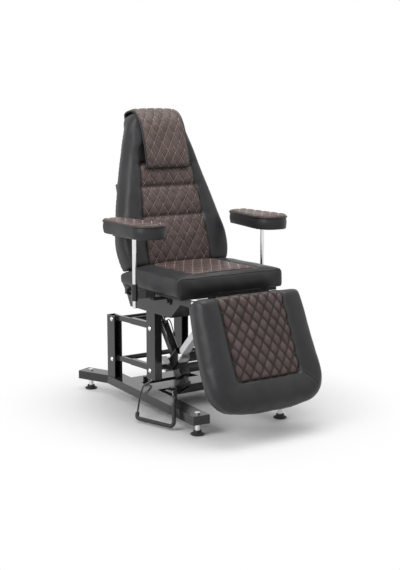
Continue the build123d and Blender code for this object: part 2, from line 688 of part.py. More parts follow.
def housing_front():
    """Sloping front plate of the seat housing with the back actuator's lugs behind it."""
    low = HOUSING_OUTLINE[0]
    high = HOUSING_OUTLINE[-1]
    thick = HOUSING_FRONT_SHEET
    points = [low, (low[0] + thick, low[1]), (high[0] + thick, high[1]), high]
    solid = side_slab(points, -CARRIER_OUTER_X, CARRIER_OUTER_X)
    reach = BACK_ACTUATOR_Y
    slope = (high[0] - low[0]) / (high[1] - low[1])
    low_z = BACK_ACTUATOR_Z - LUG_RADIUS
    high_z = BACK_ACTUATOR_Z + LUG_RADIUS
    lugs = [
        (low[0] + (low_z - low[1]) * slope + thick / 2, low_z),
        (reach + LUG_RADIUS, low_z),
        (reach + LUG_RADIUS, high_z),
        (low[0] + (high_z - low[1]) * slope + thick / 2, high_z),
    ]
    hole = ACTUATOR_PIN_RADIUS + PIN_PLAY
    for plate in lug_pair(BACK_ACTUATOR_X, lugs, BACK_ACTUATOR_Y, BACK_ACTUATOR_Z, hole):
        solid += plate
    return solid


def motor_beam():
    """Short beam from the right carrier post that carries the leg actuator's foot."""
    inner = -ARM_X + CARRIER_WIDTH / 2
    reach = EYE_THICKNESS / 2 + LUG_GAP + LUG_THICKNESS
    y0 = CARRIER_FRONT_Y + CHANNEL_WALL
    y1 = y0 + BEAM_SIZE
    z0 = LEG_ACTUATOR_Z - BEAM_SIZE / 2
    z1 = z0 + BEAM_SIZE
    solid = block(inner, LEG_ACTUATOR_X + reach, y0, y1, z0, z1)
    points = [
        (LEG_ACTUATOR_Y - LUG_RADIUS, LEG_ACTUATOR_Z - LUG_RADIUS),
        (y0, LEG_ACTUATOR_Z - LUG_RADIUS),
        (y0, LEG_ACTUATOR_Z + LUG_RADIUS),
        (LEG_ACTUATOR_Y - LUG_RADIUS, LEG_ACTUATOR_Z + LUG_RADIUS),
    ]
    hole = ACTUATOR_PIN_RADIUS + PIN_PLAY
    for plate in lug_pair(LEG_ACTUATOR_X, points, LEG_ACTUATOR_Y, LEG_ACTUATOR_Z, hole):
        solid += plate
    return solid


def hinge_pins():
    """The four seat pins that the back frame and the leg frame turn on."""
    pins = []
    tip = HOUSING_OUTER_X - HOUSING_SHEET - BACK_BAR_WIDTH - REST_GAP * 2
    for y, z in ((BACK_HINGE_Y, BACK_HINGE_Z), (LEG_HINGE_Y, LEG_HINGE_Z)):
        pin = rod_x(-HOUSING_OUTER_X, -tip, y, z, HINGE_PIN_RADIUS)
        pin += rod_x(-HOUSING_OUTER_X - BOLT_HEAD_HEIGHT / 2, -HOUSING_OUTER_X, y, z, HINGE_PIN_HEAD_RADIUS)
        pins += [pin, left_of(pin)]
    return Compound(children=pins)


def seat_board():
    """Plywood board under the seat cushion."""
    half = SEAT_HALF_WIDTH - SEAT_SIDE_DRAW - SEAT_BOARD_THICKNESS
    y0 = SEAT_FRONT_Y + SEAT_BOARD_THICKNESS
    y1 = SEAT_REAR_Y - SEAT_BOARD_THICKNESS / 2
    solid = block(-half, half, y0, y1, SEAT_BOARD_UNDERSIDE, SEAT_BOARD_TOP)
    return fillet(solid.edges().filter_by(Axis.Z), SEAT_CORNER_RADIUS / 2)


def seat_body():
    """Seat cushion: crowned top, drawn-in sides, round front corners and a sloping seat for the back."""
    top = SEAT_BOARD_TOP + SEAT_HEIGHT
    bottom = SEAT_BOARD_TOP
    half = SEAT_HALF_WIDTH
    back_up = (sin(radians(BACK_RECLINE)), cos(radians(BACK_RECLINE)))
    foot_y = BACK_FOOT_Y - back_up[1] * BACK_THICKNESS
    foot_z = BACK_FOOT_Z + back_up[0] * BACK_THICKNESS
    gap = SEAT_GAP * 2
    slope = (BACK_FOOT_Z - foot_z) / (BACK_FOOT_Y - foot_y)
    rear_z = foot_z + (SEAT_REAR_Y - foot_y) * slope - gap
    notch_y = foot_y - SEAT_BACK_GAP
    corner = SEAT_CORNER_RADIUS
    turn_y = SEAT_FRONT_Y + corner
    plan = [
        Polyline((-half, turn_y, 0), (-half, SEAT_REAR_Y, 0), (half, SEAT_REAR_Y, 0), (half, turn_y, 0)),
        RadiusArc((half, turn_y, 0), (half - corner, SEAT_FRONT_Y, 0), corner),
        ThreePointArc(
            (half - corner, SEAT_FRONT_Y, 0),
            (0, SEAT_FRONT_Y - SEAT_FRONT_BOW, 0),
            (-half + corner, SEAT_FRONT_Y, 0),
        ),
        RadiusArc((-half + corner, SEAT_FRONT_Y, 0), (-half, turn_y, 0), corner),
    ]
    outline = extrude(make_face(plan), top + SEAT_CROWN + OVERRUN)
    across = make_face(
        Polyline((-half + SEAT_SIDE_DRAW, 0, bottom), (half - SEAT_SIDE_DRAW, 0, bottom))
        + ThreePointArc(
            (half - SEAT_SIDE_DRAW, 0, bottom),
            (half, 0, (bottom + top) / 2),
            (half - SEAT_SIDE_DRAW, 0, top - SEAT_CROWN),
        )
        + ThreePointArc(
            (half - SEAT_SIDE_DRAW, 0, top - SEAT_CROWN),
            (0, 0, top),
            (-half + SEAT_SIDE_DRAW, 0, top - SEAT_CROWN),
        )
        + ThreePointArc(
            (-half + SEAT_SIDE_DRAW, 0, top - SEAT_CROWN),
            (-half, 0, (bottom + top) / 2),
            (-half + SEAT_SIDE_DRAW, 0, bottom),
        )
    )
    across = Pos(0, SEAT_REAR_Y + OVERRUN, 0) * extrude(across, SEAT_REAR_Y + OVERRUN * 2, dir=(0, -1, 0))
    front = SEAT_FRONT_Y - SEAT_CROWN
    along = make_face(
        Polyline(
            (0, front + SEAT_SIDE_DRAW, top - SEAT_CROWN),
            (0, front + SEAT_SIDE_DRAW, bottom),
            (0, SEAT_REAR_Y, bottom),
            (0, SEAT_REAR_Y, rear_z),
            (0, notch_y, rear_z + (notch_y - SEAT_REAR_Y) * slope),
            (0, notch_y, top),
        )
        + ThreePointArc(
            (0, notch_y, top),
            (0, (notch_y + front) / 2, top + SEAT_LONG_CROWN),
            (0, front + SEAT_SIDE_DRAW, top - SEAT_CROWN),
        )
    )
    along = Pos(-half - OVERRUN, 0, 0) * extrude(along, half * 2 + OVERRUN * 2, dir=(1, 0, 0))
    return outline & across & along


def seat_panel_outline(inset):
    """Corners of the seat's quilted panel, moved in by an inset."""
    half = SEAT_HALF_WIDTH - SEAT_BORDER_SIDE - inset
    y0 = SEAT_FRONT_Y + SEAT_BORDER_FRONT + inset
    y1 = SEAT_REAR_Y - BACK_THICKNESS + inset
    return half, y0, y1


def seat_cushion():
    """The black cushion with a shallow bed for the quilted panel."""
    half, y0, y1 = seat_panel_outline(0)
    floor = SEAT_BOARD_TOP + SEAT_HEIGHT - SEAT_CROWN - SEAT_PANEL_DEPTH
    return seat_body() - block(-half, half, y0, y1 + OVERRUN, floor, floor + SEAT_HEIGHT)


def seat_panel():
    """The quilted panel: flat below, crowned on top, standing a little above its border."""
    half, y0, y1 = seat_panel_outline(REST_GAP)
    floor = SEAT_BOARD_TOP + SEAT_HEIGHT - SEAT_CROWN - SEAT_PANEL_DEPTH
    edge = floor + SEAT_PANEL_DEPTH + SEAT_PANEL_EDGE_RISE
    crest = SEAT_BOARD_TOP + SEAT_HEIGHT + SEAT_PANEL_CROWN
    face = make_face(
        Polyline((-half, 0, edge), (-half, 0, floor), (half, 0, floor), (half, 0, edge))
        + ThreePointArc((half, 0, edge), (0, 0, crest), (-half, 0, edge))
    )
    foot_y = BACK_FOOT_Y - cos(radians(BACK_RECLINE)) * BACK_THICKNESS - SEAT_BACK_GAP
    rear = min(y1, foot_y) - REST_GAP
    return Pos(0, rear, 0) * extrude(face, rear - y0, dir=(0, -1, 0))


def back_place(shape):
    """Turns and moves a piece from the back's own frame to its place."""
    return Pos(0, BACK_FOOT_Y, BACK_FOOT_Z) * Rot(X=-BACK_RECLINE) * shape


def back_outline(inset, y):
    """Face of the back's shield outline, moved in by an inset, in the plane at a local y."""
    foot = BACK_FOOT_HALF_WIDTH - inset
    wide = BACK_WIDEST_HALF_WIDTH - inset
    top = BACK_TOP_HALF_WIDTH - inset
    radius = BACK_TOP_RADIUS
    low = inset
    high = BACK_LENGTH - inset
    shoulder = high - radius
    knee = BACK_KNEE_HEIGHT
    cap_x = top - radius * BACK_CAP_SHARE
    side = [
        ThreePointArc((foot, y, low), (wide, y, BACK_WIDEST_HEIGHT), (wide - BACK_BULGE, y, knee)),
        Line((wide - BACK_BULGE, y, knee), (top, y, shoulder)),
        ThreePointArc(
            (top, y, shoulder),
            (top - radius * BACK_SHOULDER_IN_SHARE, y, high - radius * BACK_SHOULDER_DOWN_SHARE),
            (cap_x, y, high),
        ),
    ]
    other = [mirror(edge, about=Plane.YZ) for edge in side]
    cap = Line((cap_x, y, high), (-cap_x, y, high))
    base = Line((-foot, y, low), (foot, y, low))
    return make_face(side + [cap] + other + [base])


def back_panel_prism(inset, y0, y1):
    """The space of the back's quilted panel between two local y values: it narrows above its waist."""
    low = inset
    high = BACK_PANEL_TOP_HEIGHT - inset
    waist = BACK_PANEL_TOP_HEIGHT * BACK_PANEL_WAIST_SHARE
    side = [
        (BACK_PANEL_FOOT_HALF_WIDTH - inset, y0, low),
        (BACK_PANEL_WAIST_HALF_WIDTH - inset, y0, waist),
        (BACK_PANEL_TOP_HALF_WIDTH - inset, y0, high),
    ]
    other = [(-x, y, z) for x, y, z in reversed(side)]
    return extrude(make_face(Polyline(*side, *other, close=True)), y1 - y0, dir=(0, 1, 0))


def back_cushion():
    """Black shield cushion: bolsters that swell outwards round a sunken bed for the quilted panel."""
    front = -BACK_THICKNESS
    rear = -BACK_BOARD_THICKNESS
    middle = (front + rear) / 2
    draw = BACK_BULGE / 2
    lower = loft([back_outline(draw, rear), back_outline(0, middle)], ruled=True)
    upper = loft([back_outline(0, middle), back_outline(draw, front)], ruled=True)
    body = lower + upper
    bed = back_panel_prism(0, front - OVERRUN, front + BACK_PANEL_SUNK + BACK_CHANNEL_DEPTH)
    foot = block(
        -BACK_PANEL_FOOT_HALF_WIDTH, BACK_PANEL_FOOT_HALF_WIDTH,
        front - OVERRUN, front + BACK_PANEL_SUNK + BACK_CHANNEL_DEPTH, -OVERRUN, OVERRUN / 2,
    )
    return body - bed - foot


# Heights of the seams between the back panel's channels, as shares of the panel's height
BACK_SEAM_SHARES = (0.0, 0.43, 0.68, 0.87, 1.0)


def back_panel():
    """Quilted back panel: full-width channels that swell between deep seams."""
    floor = -BACK_THICKNESS + BACK_PANEL_SUNK + BACK_CHANNEL_DEPTH - REST_GAP
    seam = -BACK_THICKNESS + BACK_PANEL_SUNK + BACK_SEAM_RISE
    crest = -BACK_THICKNESS + BACK_PANEL_SUNK - BACK_CHANNEL_DEPTH
    heights = [REST_GAP + share * (BACK_PANEL_TOP_HEIGHT - REST_GAP * 2) for share in BACK_SEAM_SHARES]
    edges = [Line((0, seam, heights[-1]), (0, floor, heights[-1])),
             Line((0, floor, heights[-1]), (0, floor, heights[0])),
             Line((0, floor, heights[0]), (0, seam, heights[0]))]
    for low, high in zip(heights, heights[1:]):
        edges.append(ThreePointArc((0, seam, low), (0, crest, (low + high) / 2), (0, seam, high)))
    wide = BACK_WIDEST_HALF_WIDTH
    profile = Pos(-wide, 0, 0) * extrude(make_face(edges), wide * 2, dir=(1, 0, 0))
    return profile & back_panel_prism(REST_GAP, -BACK_THICKNESS - OVERRUN, floor + OVERRUN)


def back_board():
    """Plywood shell behind the back cushion."""
    face = back_outline(BACK_BOARD_MARGIN, -BACK_BOARD_THICKNESS)
    return extrude(face, BACK_BOARD_THICKNESS, dir=(0, 1, 0))


def to_back(y, z):
    """A point of the chair's frame in the back's own y and z."""
    turn = radians(BACK_RECLINE)
    dy = y - BACK_FOOT_Y
    dz = z - BACK_FOOT_Z
    return dy * cos(turn) - dz * sin(turn), dy * sin(turn) + dz * cos(turn)


def back_frame():
    """Steel frame behind the back board: two bars, a torsion tube on the hinge line and the crank lugs."""
    hinge_y, hinge_z = to_back(BACK_HINGE_Y, BACK_HINGE_Z)
    outer = CARRIER_OUTER_X - REST_GAP * 2
    inner = outer - BACK_BAR_WIDTH
    y0 = 0
    y1 = BACK_BAR_DEPTH + BACK_BAR_SET_BACK
    bar = block(-outer, -inner, y0, y1, hinge_z, BACK_BAR_TOP)
    bar += rod_x(-outer, -inner, hinge_y, hinge_z, HINGE_TUBE_RADIUS)
    frame = bar + left_of(bar)
    for height in (BACK_BAR_DEPTH, BACK_BAR_TOP - BACK_BAR_DEPTH * 2):
        frame += block(-inner, inner, y0, y1 - BACK_BAR_SET_BACK, height, height + BACK_BAR_DEPTH)
    frame += rod_x(-inner, inner, hinge_y, hinge_z, HINGE_TUBE_RADIUS)
    depth = HINGE_PIN_RADIUS + PIN_PLAY
    for side in (-1, 1):
        frame -= rod_x(side * outer, side * inner, hinge_y, hinge_z, depth)
    frame = back_place(frame)
    tip = LUG_RADIUS * LUG_TIP_SHARE
    points = [
        (BACK_HINGE_Y - LUG_RADIUS / 2, BACK_HINGE_Z),
        (BACK_HINGE_Y + LUG_RADIUS, BACK_HINGE_Z),
        (BACK_EYE_Y + tip, BACK_EYE_Z),
        (BACK_EYE_Y, BACK_EYE_Z - tip),
        (BACK_EYE_Y - tip, BACK_EYE_Z),
    ]
    for plate in lug_pair(BACK_ACTUATOR_X, points, BACK_EYE_Y, BACK_EYE_Z, ACTUATOR_PIN_RADIUS / 2):
        frame += plate
    pin = EYE_THICKNESS / 2 + LUG_GAP + LUG_THICKNESS
    crank_pin = (BACK_ACTUATOR_X - pin, BACK_ACTUATOR_X + pin, BACK_EYE_Y, BACK_EYE_Z)
    return frame + rod_x(*crank_pin, ACTUATOR_PIN_RADIUS)


def headrest_pad():
    """Quilted headrest flap that hangs over the top of the back, with a short tail behind it."""
    gap = REST_GAP * 2
    front = -BACK_THICKNESS - gap
    rear = gap
    top = BACK_LENGTH + gap
    shoulder = front - HEADREST_SHOULDER_THICKNESS
    hem = front - HEADREST_HEM_THICKNESS
    back = rear + HEADREST_TAIL_THICKNESS
    cap = top + HEADREST_TOP_THICKNESS
    low = BACK_LENGTH - HEADREST_DROP
    tail = BACK_LENGTH - HEADREST_REAR_DROP
    round_in = HEADREST_THICKNESS
    side = make_face(
        [
            Line((0, front, low), (0, front, top)),
            Line((0, front, top), (0, rear, top)),
            Line((0, rear, top), (0, rear, tail)),
            Line((0, rear, tail), (0, back, tail)),
            Line((0, back, tail), (0, back, top)),
            Line((0, back, top), (0, rear, cap)),
            Line((0, rear, cap), (0, front + round_in / 2, cap)),
            ThreePointArc(
                (0, front + round_in / 2, cap),
                (0, front - HEADREST_TAIL_THICKNESS, top),
                (0, shoulder, top - round_in),
            ),
            ThreePointArc(
                (0, shoulder, top - round_in),
                (0, front - HEADREST_THICKNESS, (low + top) / 2),
                (0, hem, low + HEADREST_HEM_RISE),
            ),
            Line((0, hem, low + HEADREST_HEM_RISE), (0, front, low)),
        ]
    )
    half = HEADREST_HALF_WIDTH
    body = Pos(-half, 0, 0) * extrude(side, half * 2, dir=(1, 0, 0))
    top_half = HEADREST_TOP_HALF_WIDTH
    points = [(-half, 0, low), (half, 0, low), (top_half, 0, cap), (-top_half, 0, cap)]
    trim = extrude(make_face(Polyline(*points, close=True)), BACK_THICKNESS * 2, dir=(0, 1, 0), both=True)
    return body & trim


def leg_place(shape):
    """Turns and moves a piece from the leg rest's own frame to its place: local z = 0 is the top edge."""
    return Pos(0, LEG_TOP_Y, LEG_TOP_Z) * Rot(X=-LEG_HANG) * shape


def leg_outline(inset, y):
    """Face of the leg rest's outline, moved in by an inset, in the plane at a local y."""
    top = LEG_TOP_HALF_WIDTH - inset
    wide = LEG_WIDEST_HALF_WIDTH - inset
    radius = LEG_CORNER_RADIUS
    low = -LEG_LENGTH + inset
    high = -inset
    bend = low + radius
    corner = radius - radius / hypot(1, 1)
    half_way = ((top + wide) / 2 + inset * LEG_SIDE_DRAW_SHARE, y, (high - LEG_WIDEST_DROP) / 2)
    side = [
        ThreePointArc((top, y, high), half_way, (wide, y, bend)),
        ThreePointArc((wide, y, bend), (wide - corner, y, low + corner), (wide - radius, y, low)),
    ]
    other = [mirror(edge, about=Plane.YZ) for edge in side]
    cap = Line((-top, y, high), (top, y, high))
    base = ThreePointArc((wide - radius, y, low), (0, y, low - LEG_FOOT_BOW), (-wide + radius, y, low))
    return make_face(side + [base] + other + [cap])


def leg_panel_prism(inset, y0, y1):
    """The space of the leg rest's quilted panel between two local y values."""
    half = LEG_PANEL_HALF_WIDTH - inset
    low = -LEG_LENGTH + LEG_FOOT_BOLSTER + inset
    points = [(-half, y0, 0), (half, y0, 0), (half, y0, low), (-half, y0, low)]
    return extrude(make_face(Polyline(*points, close=True)), y1 - y0, dir=(0, 1, 0))


def leg_cushion():
    """Black leg cushion: a thick bolster round three sides of a sunken bed."""
    front = -LEG_THICKNESS
    rear = -LEG_BOARD_THICKNESS
    middle = rear + (front - rear) * LEG_FULLEST_SHARE
    draw = LEG_BOARD_MARGIN / 2
    lower = loft([leg_outline(draw, rear), leg_outline(0, middle)], ruled=True)
    upper = loft([leg_outline(0, middle), leg_outline(draw * 2, front)], ruled=True)
    bed = leg_panel_prism(0, front - OVERRUN, front + LEG_PANEL_SUNK * 2)
    return lower + upper - bed


def leg_panel():
    """Quilted leg panel: flat behind, crowned in front."""
    floor = -LEG_THICKNESS + LEG_PANEL_SUNK * 2 - REST_GAP
    half = LEG_PANEL_HALF_WIDTH
    edge = -LEG_THICKNESS + LEG_PANEL_SUNK
    face = make_face(
        [
            Line((-half, floor, 0), (half, floor, 0)),
            Line((half, floor, 0), (half, edge, 0)),
            ThreePointArc((half, edge, 0), (0, edge - LEG_PANEL_CROWN * 2, 0), (-half, edge, 0)),
            Line((-half, edge, 0), (-half, floor, 0)),
        ]
    )
    body = extrude(face, LEG_LENGTH, dir=(0, 0, -1))
    inset = leg_panel_prism(REST_GAP, -LEG_THICKNESS - OVERRUN, floor + OVERRUN)
    draw = LEG_BOARD_MARGIN
    return body & inset & block(-half, half, -LEG_THICKNESS - OVERRUN, floor, -LEG_LENGTH, -draw)


def leg_board():
    """Plywood board behind the leg cushion."""
    return extrude(leg_outline(LEG_BOARD_MARGIN, -LEG_BOARD_THICKNESS), LEG_BOARD_THICKNESS, dir=(0, 1, 0))


def to_leg(y, z):
    """A point of the chair's frame in the leg rest's own y and z."""
    turn = radians(LEG_HANG)
    dy = y - LEG_TOP_Y
    dz = z - LEG_TOP_Z
    return dy * cos(turn) - dz * sin(turn), dy * sin(turn) + dz * cos(turn)


def leg_frame():
    """Steel frame behind the leg board: two bars, a torsion tube on the hinge line and the crank lugs."""
    hinge_y, hinge_z = to_leg(LEG_HINGE_Y, LEG_HINGE_Z)
    outer = CARRIER_OUTER_X - REST_GAP * 2
    inner = outer - LEG_BAR_WIDTH
    y1 = hinge_y + LEG_BAR_DEPTH / 2
    bar = block(-outer, -inner, 0, LEG_BAR_DEPTH, -LEG_BAR_LENGTH, -LEG_BAR_DEPTH)
    bar += block(-outer, -inner, 0, y1, hinge_z - LEG_BAR_DEPTH, hinge_z)
    bar += rod_x(-outer, -inner, hinge_y, hinge_z, HINGE_TUBE_RADIUS)
    frame = bar + left_of(bar)
    frame += block(-inner, inner, 0, LEG_BAR_DEPTH, -LEG_BAR_LENGTH, -LEG_BAR_LENGTH + LEG_BAR_DEPTH)
    frame += rod_x(-inner, inner, hinge_y, hinge_z, HINGE_TUBE_RADIUS)
    depth = HINGE_PIN_RADIUS + PIN_PLAY
    for side in (-1, 1):
        frame -= rod_x(side * outer, side * inner, hinge_y, hinge_z, depth)
    frame = leg_place(frame)
    tip = LUG_RADIUS * LUG_TIP_SHARE
    points = [
        (LEG_HINGE_Y - tip, LEG_HINGE_Z),
        (LEG_HINGE_Y + tip, LEG_HINGE_Z),
        (LEG_EYE_Y + tip, LEG_EYE_Z),
        (LEG_EYE_Y, LEG_EYE_Z - tip),
        (LEG_EYE_Y - tip, LEG_EYE_Z),
    ]
    for plate in lug_pair(LEG_ACTUATOR_X, points, LEG_EYE_Y, LEG_EYE_Z, ACTUATOR_PIN_RADIUS / 2):
        frame += plate
    pin = EYE_THICKNESS / 2 + LUG_GAP + LUG_THICKNESS
    crank_pin = (LEG_ACTUATOR_X - pin, LEG_ACTUATOR_X + pin, LEG_EYE_Y, LEG_EYE_Z)
    return frame + rod_x(*crank_pin, ACTUATOR_PIN_RADIUS)


def actuator(x, foot, eye, retraction, slot, guide_share):
    """Drive unit, motor and rod of one actuator that stands at foot and reaches to eye.

    The rod's eye is a slot across the rod, because the pin in it moves on an arc. The slot is given
    as its shift across the rod, its play to each side and its slack along the rod.
    """
    shift, play, slack = slot
    length = hypot(eye[0] - foot[0], eye[1] - foot[1])
    turn = -degrees(atan2(eye[0] - foot[0], eye[1] - foot[1]))
    half_eye = EYE_THICKNESS / 2
    hole = ACTUATOR_PIN_RADIUS + slack
    guide_end = length * guide_share
    box_low = NECK_LENGTH
    box_high = box_low + GEARBOX_HEIGHT
    drive = rod_x(-half_eye, half_eye, 0, 0, EYE_RADIUS)
    drive += block(-half_eye, half_eye, -EYE_RADIUS, EYE_RADIUS, 0, box_low)
    box_half = GEARBOX_DEPTH / 2
    gearbox = block(-GEARBOX_WIDTH / 2, GEARBOX_WIDTH / 2, -box_half, box_half, box_low, box_high)
    drive += chamfer(gearbox.edges().filter_by(Axis.Z), EYE_WALL)
    guide = block(-GUIDE_WIDTH / 2, GUIDE_WIDTH / 2, -GUIDE_DEPTH / 2, GUIDE_DEPTH / 2, box_high, guide_end)
    drive += chamfer(guide.edges().filter_by(Axis.Z), EYE_WALL / 2)
    pin = half_eye + LUG_GAP + LUG_THICKNESS
    drive += rod_x(-pin, pin, 0, 0, ACTUATOR_PIN_RADIUS)
    drive -= rod_z(box_low + EYE_WALL, guide_end + OVERRUN, 0, 0, ROD_RADIUS + PIN_PLAY)
    motor_z = box_low + GEARBOX_HEIGHT / 2
    motor_end = GEARBOX_WIDTH / 2 + MOTOR_LENGTH
    motor = rod_x(GEARBOX_WIDTH / 2, motor_end, 0, motor_z, MOTOR_RADIUS)
    motor += rod_x(motor_end, motor_end + EYE_WALL, 0, motor_z, MOTOR_RADIUS - EYE_WALL)
    low = box_low + EYE_WALL + REST_GAP + retraction
    rod = rod_z(low, length - hole, 0, 0, ROD_RADIUS)
    head_half = abs(shift) + play + ACTUATOR_PIN_RADIUS + EYE_WALL
    head_side = EYE_WALL + hole
    head = block(-half_eye, half_eye, -head_half, head_half, length - head_side, length + head_side)
    rod += chamfer(head.edges().filter_by(Axis.X), EYE_WALL / 2)
    wide = half_eye + OVERRUN
    rod -= block(-wide, wide, shift - play, shift + play, length - hole, length + hole)
    for side in (shift - play, shift + play):
        rod -= rod_x(-wide, wide, side, length, hole)
    return [Pos(x, foot[0], foot[1]) * Rot(X=turn) * piece for piece in (drive, motor, rod)]


def clamp_bracket():
    """Armrest bracket: post clamp, bar beside the cushion, strap under it and the flange on the housing."""
    top = CLAMP_BOTTOM + CLAMP_HEIGHT
    clamp = rod_z(CLAMP_BOTTOM, top, -POST_X, POST_Y, CLAMP_RADIUS)
    boss_z = (CLAMP_BOTTOM + top) / 2
    clamp += rod_y(POST_Y, POST_Y + CLAMP_BOSS_REACH, -POST_X, boss_z, CLAMP_BOSS_RADIUS)
    bar_half = BACK_BAR_DEPTH
    bar_low = SEAT_BOARD_UNDERSIDE - BRACKET_DROP
    bar_x = -SEAT_HALF_WIDTH - CLAMP_RADIUS
    strap_y0 = POST_Y - BRACKET_REACH
    strap_y1 = strap_y0 + BRACKET_STRAP_WIDTH
    thick = BRACKET_THICKNESS
    half = thick / 2
    outline = [
        (-POST_X, POST_Y - half),
        (-POST_X, POST_Y + half),
        (bar_x, POST_Y - thick),
        (bar_x + half, POST_Y - thick * 2),
        (bar_x + half, strap_y0),
        (bar_x - half, strap_y0),
        (bar_x - half, POST_Y - thick * 2 - half),
    ]
    bar_high = bar_low + bar_half + thick * 2
    clamp += plan_slab(outline, bar_low, bar_high)
    strap_low = bar_low
    clamp += block(bar_x - half, -HOUSING_OUTER_X, strap_y0, strap_y1, strap_low, strap_low + thick)
    flange = thick
    flange_low = strap_low - CLAMP_RADIUS * 2
    flange_x = -HOUSING_OUTER_X - flange
    clamp += block(flange_x, -HOUSING_OUTER_X, strap_y0, strap_y1, flange_low, strap_low + thick)
    bolt_y = (strap_y0 + strap_y1) / 2
    bolt_z = (flange_low + strap_low) / 2
    clamp += rod_x(flange_x - BOLT_HEAD_HEIGHT, flange_x, bolt_y, bolt_z, BRACKET_BOLT_RADIUS)
    clamp -= rod_z(CLAMP_BOTTOM - OVERRUN, top + OVERRUN, -POST_X, POST_Y, POST_RADIUS + PIN_PLAY)
    screw = KNOB_SCREW_RADIUS + PIN_PLAY
    return clamp - rod_y(POST_Y, POST_Y + CLAMP_RADIUS * 2, -POST_X, boss_z, screw)


def clamp_knob():
    """Lobed knob with its clamp screw, on the rear of the post clamp."""
    z = CLAMP_BOTTOM + CLAMP_HEIGHT / 2
    y0 = POST_Y + POST_RADIUS + REST_GAP * 2
    y1 = POST_Y + CLAMP_RADIUS + KNOB_STAND_OFF
    screw = rod_y(y0, y1, -POST_X, z, KNOB_SCREW_RADIUS)
    knob = Cylinder(KNOB_RADIUS, KNOB_THICKNESS)
    bay = Cylinder(KNOB_RADIUS * KNOB_BAY_SHARE, KNOB_THICKNESS + OVERRUN)
    for place in PolarLocations(KNOB_RADIUS * KNOB_BAY_REACH_SHARE, 6):
        knob -= place * bay
    return screw + Pos(-POST_X, y1 + KNOB_THICKNESS / 2, z) * Rot(X=90) * knob


def arm_post():
    """Chrome armrest post."""
    return rod_z(POST_BOTTOM, POST_TOP, -POST_X, POST_Y, POST_RADIUS)


def pad_place(shape):
    """Turns an arm pad piece in about its post and moves it to the post."""
    return Pos(-POST_X, POST_Y, 0) * Rot(Z=PAD_TOE_IN) * shape


def pad_outline(inset, z):
    """Plan of an arm pad about its post: narrow behind, wide and round in front."""
    rear = PAD_REAR - inset
    front = PAD_FRONT - inset
    narrow = PAD_REAR_HALF_WIDTH - inset
    wide = PAD_FRONT_HALF_WIDTH - inset
    mid = PAD_SHIFT_IN
    round_y = -front + wide
    corner = PAD_REAR_CORNER
    bow = corner - corner / hypot(1, 1)
    edges = [
        Line((mid - wide, round_y, z), (mid - narrow, rear - corner, z)),
        ThreePointArc(
            (mid - narrow, rear - corner, z),
            (mid - narrow + bow, rear - bow, z),
            (mid - narrow + corner, rear, z),
        ),
        Line((mid - narrow + corner, rear, z), (mid + narrow - corner, rear, z)),
        ThreePointArc(
            (mid + narrow - corner, rear, z),
            (mid + narrow - bow, rear - bow, z),
            (mid + narrow, rear - corner, z),
        ),
        Line((mid + narrow, rear - corner, z), (mid + wide, round_y, z)),
        ThreePointArc((mid + wide, round_y, z), (mid, -front, z), (mid - wide, round_y, z)),
    ]
    return make_face(edges)


def arm_plate():
    """Steel plate under an arm pad with the boss that sits on the post."""
    half = PAD_PLATE_HALF_WIDTH
    plate_top = PAD_PLATE_Z + PAD_PLATE_THICKNESS
    plate = block(-half, half, -PAD_PLATE_FRONT, PAD_PLATE_REAR, PAD_PLATE_Z, plate_top)
    boss_top = PAD_PLATE_Z + PAD_PLATE_THICKNESS + PAD_BOSS_HEIGHT
    plate += rod_z(PAD_PLATE_Z, boss_top, 0, 0, PAD_BOSS_RADIUS)
    return plate - rod_z(PAD_PLATE_Z - OVERRUN, POST_TOP + REST_GAP, 0, 0, POST_RADIUS + PIN_PLAY)


def arm_pad():
    """Upholstered arm pad with drawn-in sides, a pocket for the boss and a bed for its quilted top."""
    low = PAD_PLATE_Z + PAD_PLATE_THICKNESS
    high = low + PAD_HEIGHT
    draw = PAD_CROWN / 2
    middle = (low + high) / 2
    body = loft([pad_outline(draw, low), pad_outline(0, middle)], ruled=True)
    body += loft([pad_outline(0, middle), pad_outline(draw, high)], ruled=True)
    boss_top = low + PAD_BOSS_HEIGHT + REST_GAP
    body -= rod_z(low - OVERRUN, boss_top, 0, 0, PAD_BOSS_RADIUS + REST_GAP)
    bed = pad_outline(PAD_PANEL_MARGIN, high - PAD_PANEL_DEPTH)
    return body - extrude(bed, PAD_PANEL_DEPTH + OVERRUN)


def arm_panel():
    """Quilted top of an arm pad: flat below and crowned above."""
    low = PAD_PLATE_Z + PAD_PLATE_THICKNESS + PAD_HEIGHT - PAD_PANEL_DEPTH
    edge = low + PAD_PANEL_DEPTH
    body = extrude(pad_outline(PAD_PANEL_MARGIN + REST_GAP, low), PAD_PANEL_DEPTH + PAD_CROWN)
    half = PAD_FRONT_HALF_WIDTH + abs(PAD_SHIFT_IN)
    across = make_face(
        [
            Line((-half, 0, low), (half, 0, low)),
            Line((half, 0, low), (half, 0, edge)),
            ThreePointArc((half, 0, edge), (PAD_SHIFT_IN, 0, edge + PAD_CROWN), (-half, 0, edge)),
            Line((-half, 0, edge), (-half, 0, low)),
        ]
    )
    across = extrude(across, PAD_REAR, dir=(0, 1, 0), both=True)
    return body & across


def pedal_rod():
    """The bent steel rod of the foot control bar."""
    wire = FilletPolyline(*PEDAL_ROUTE, radius=list(PEDAL_BENDS))
    start = Plane(origin=PEDAL_ROUTE[0], z_dir=(0, -1, 0))
    return sweep(start * Circle(PEDAL_ROD_RADIUS), path=wire)


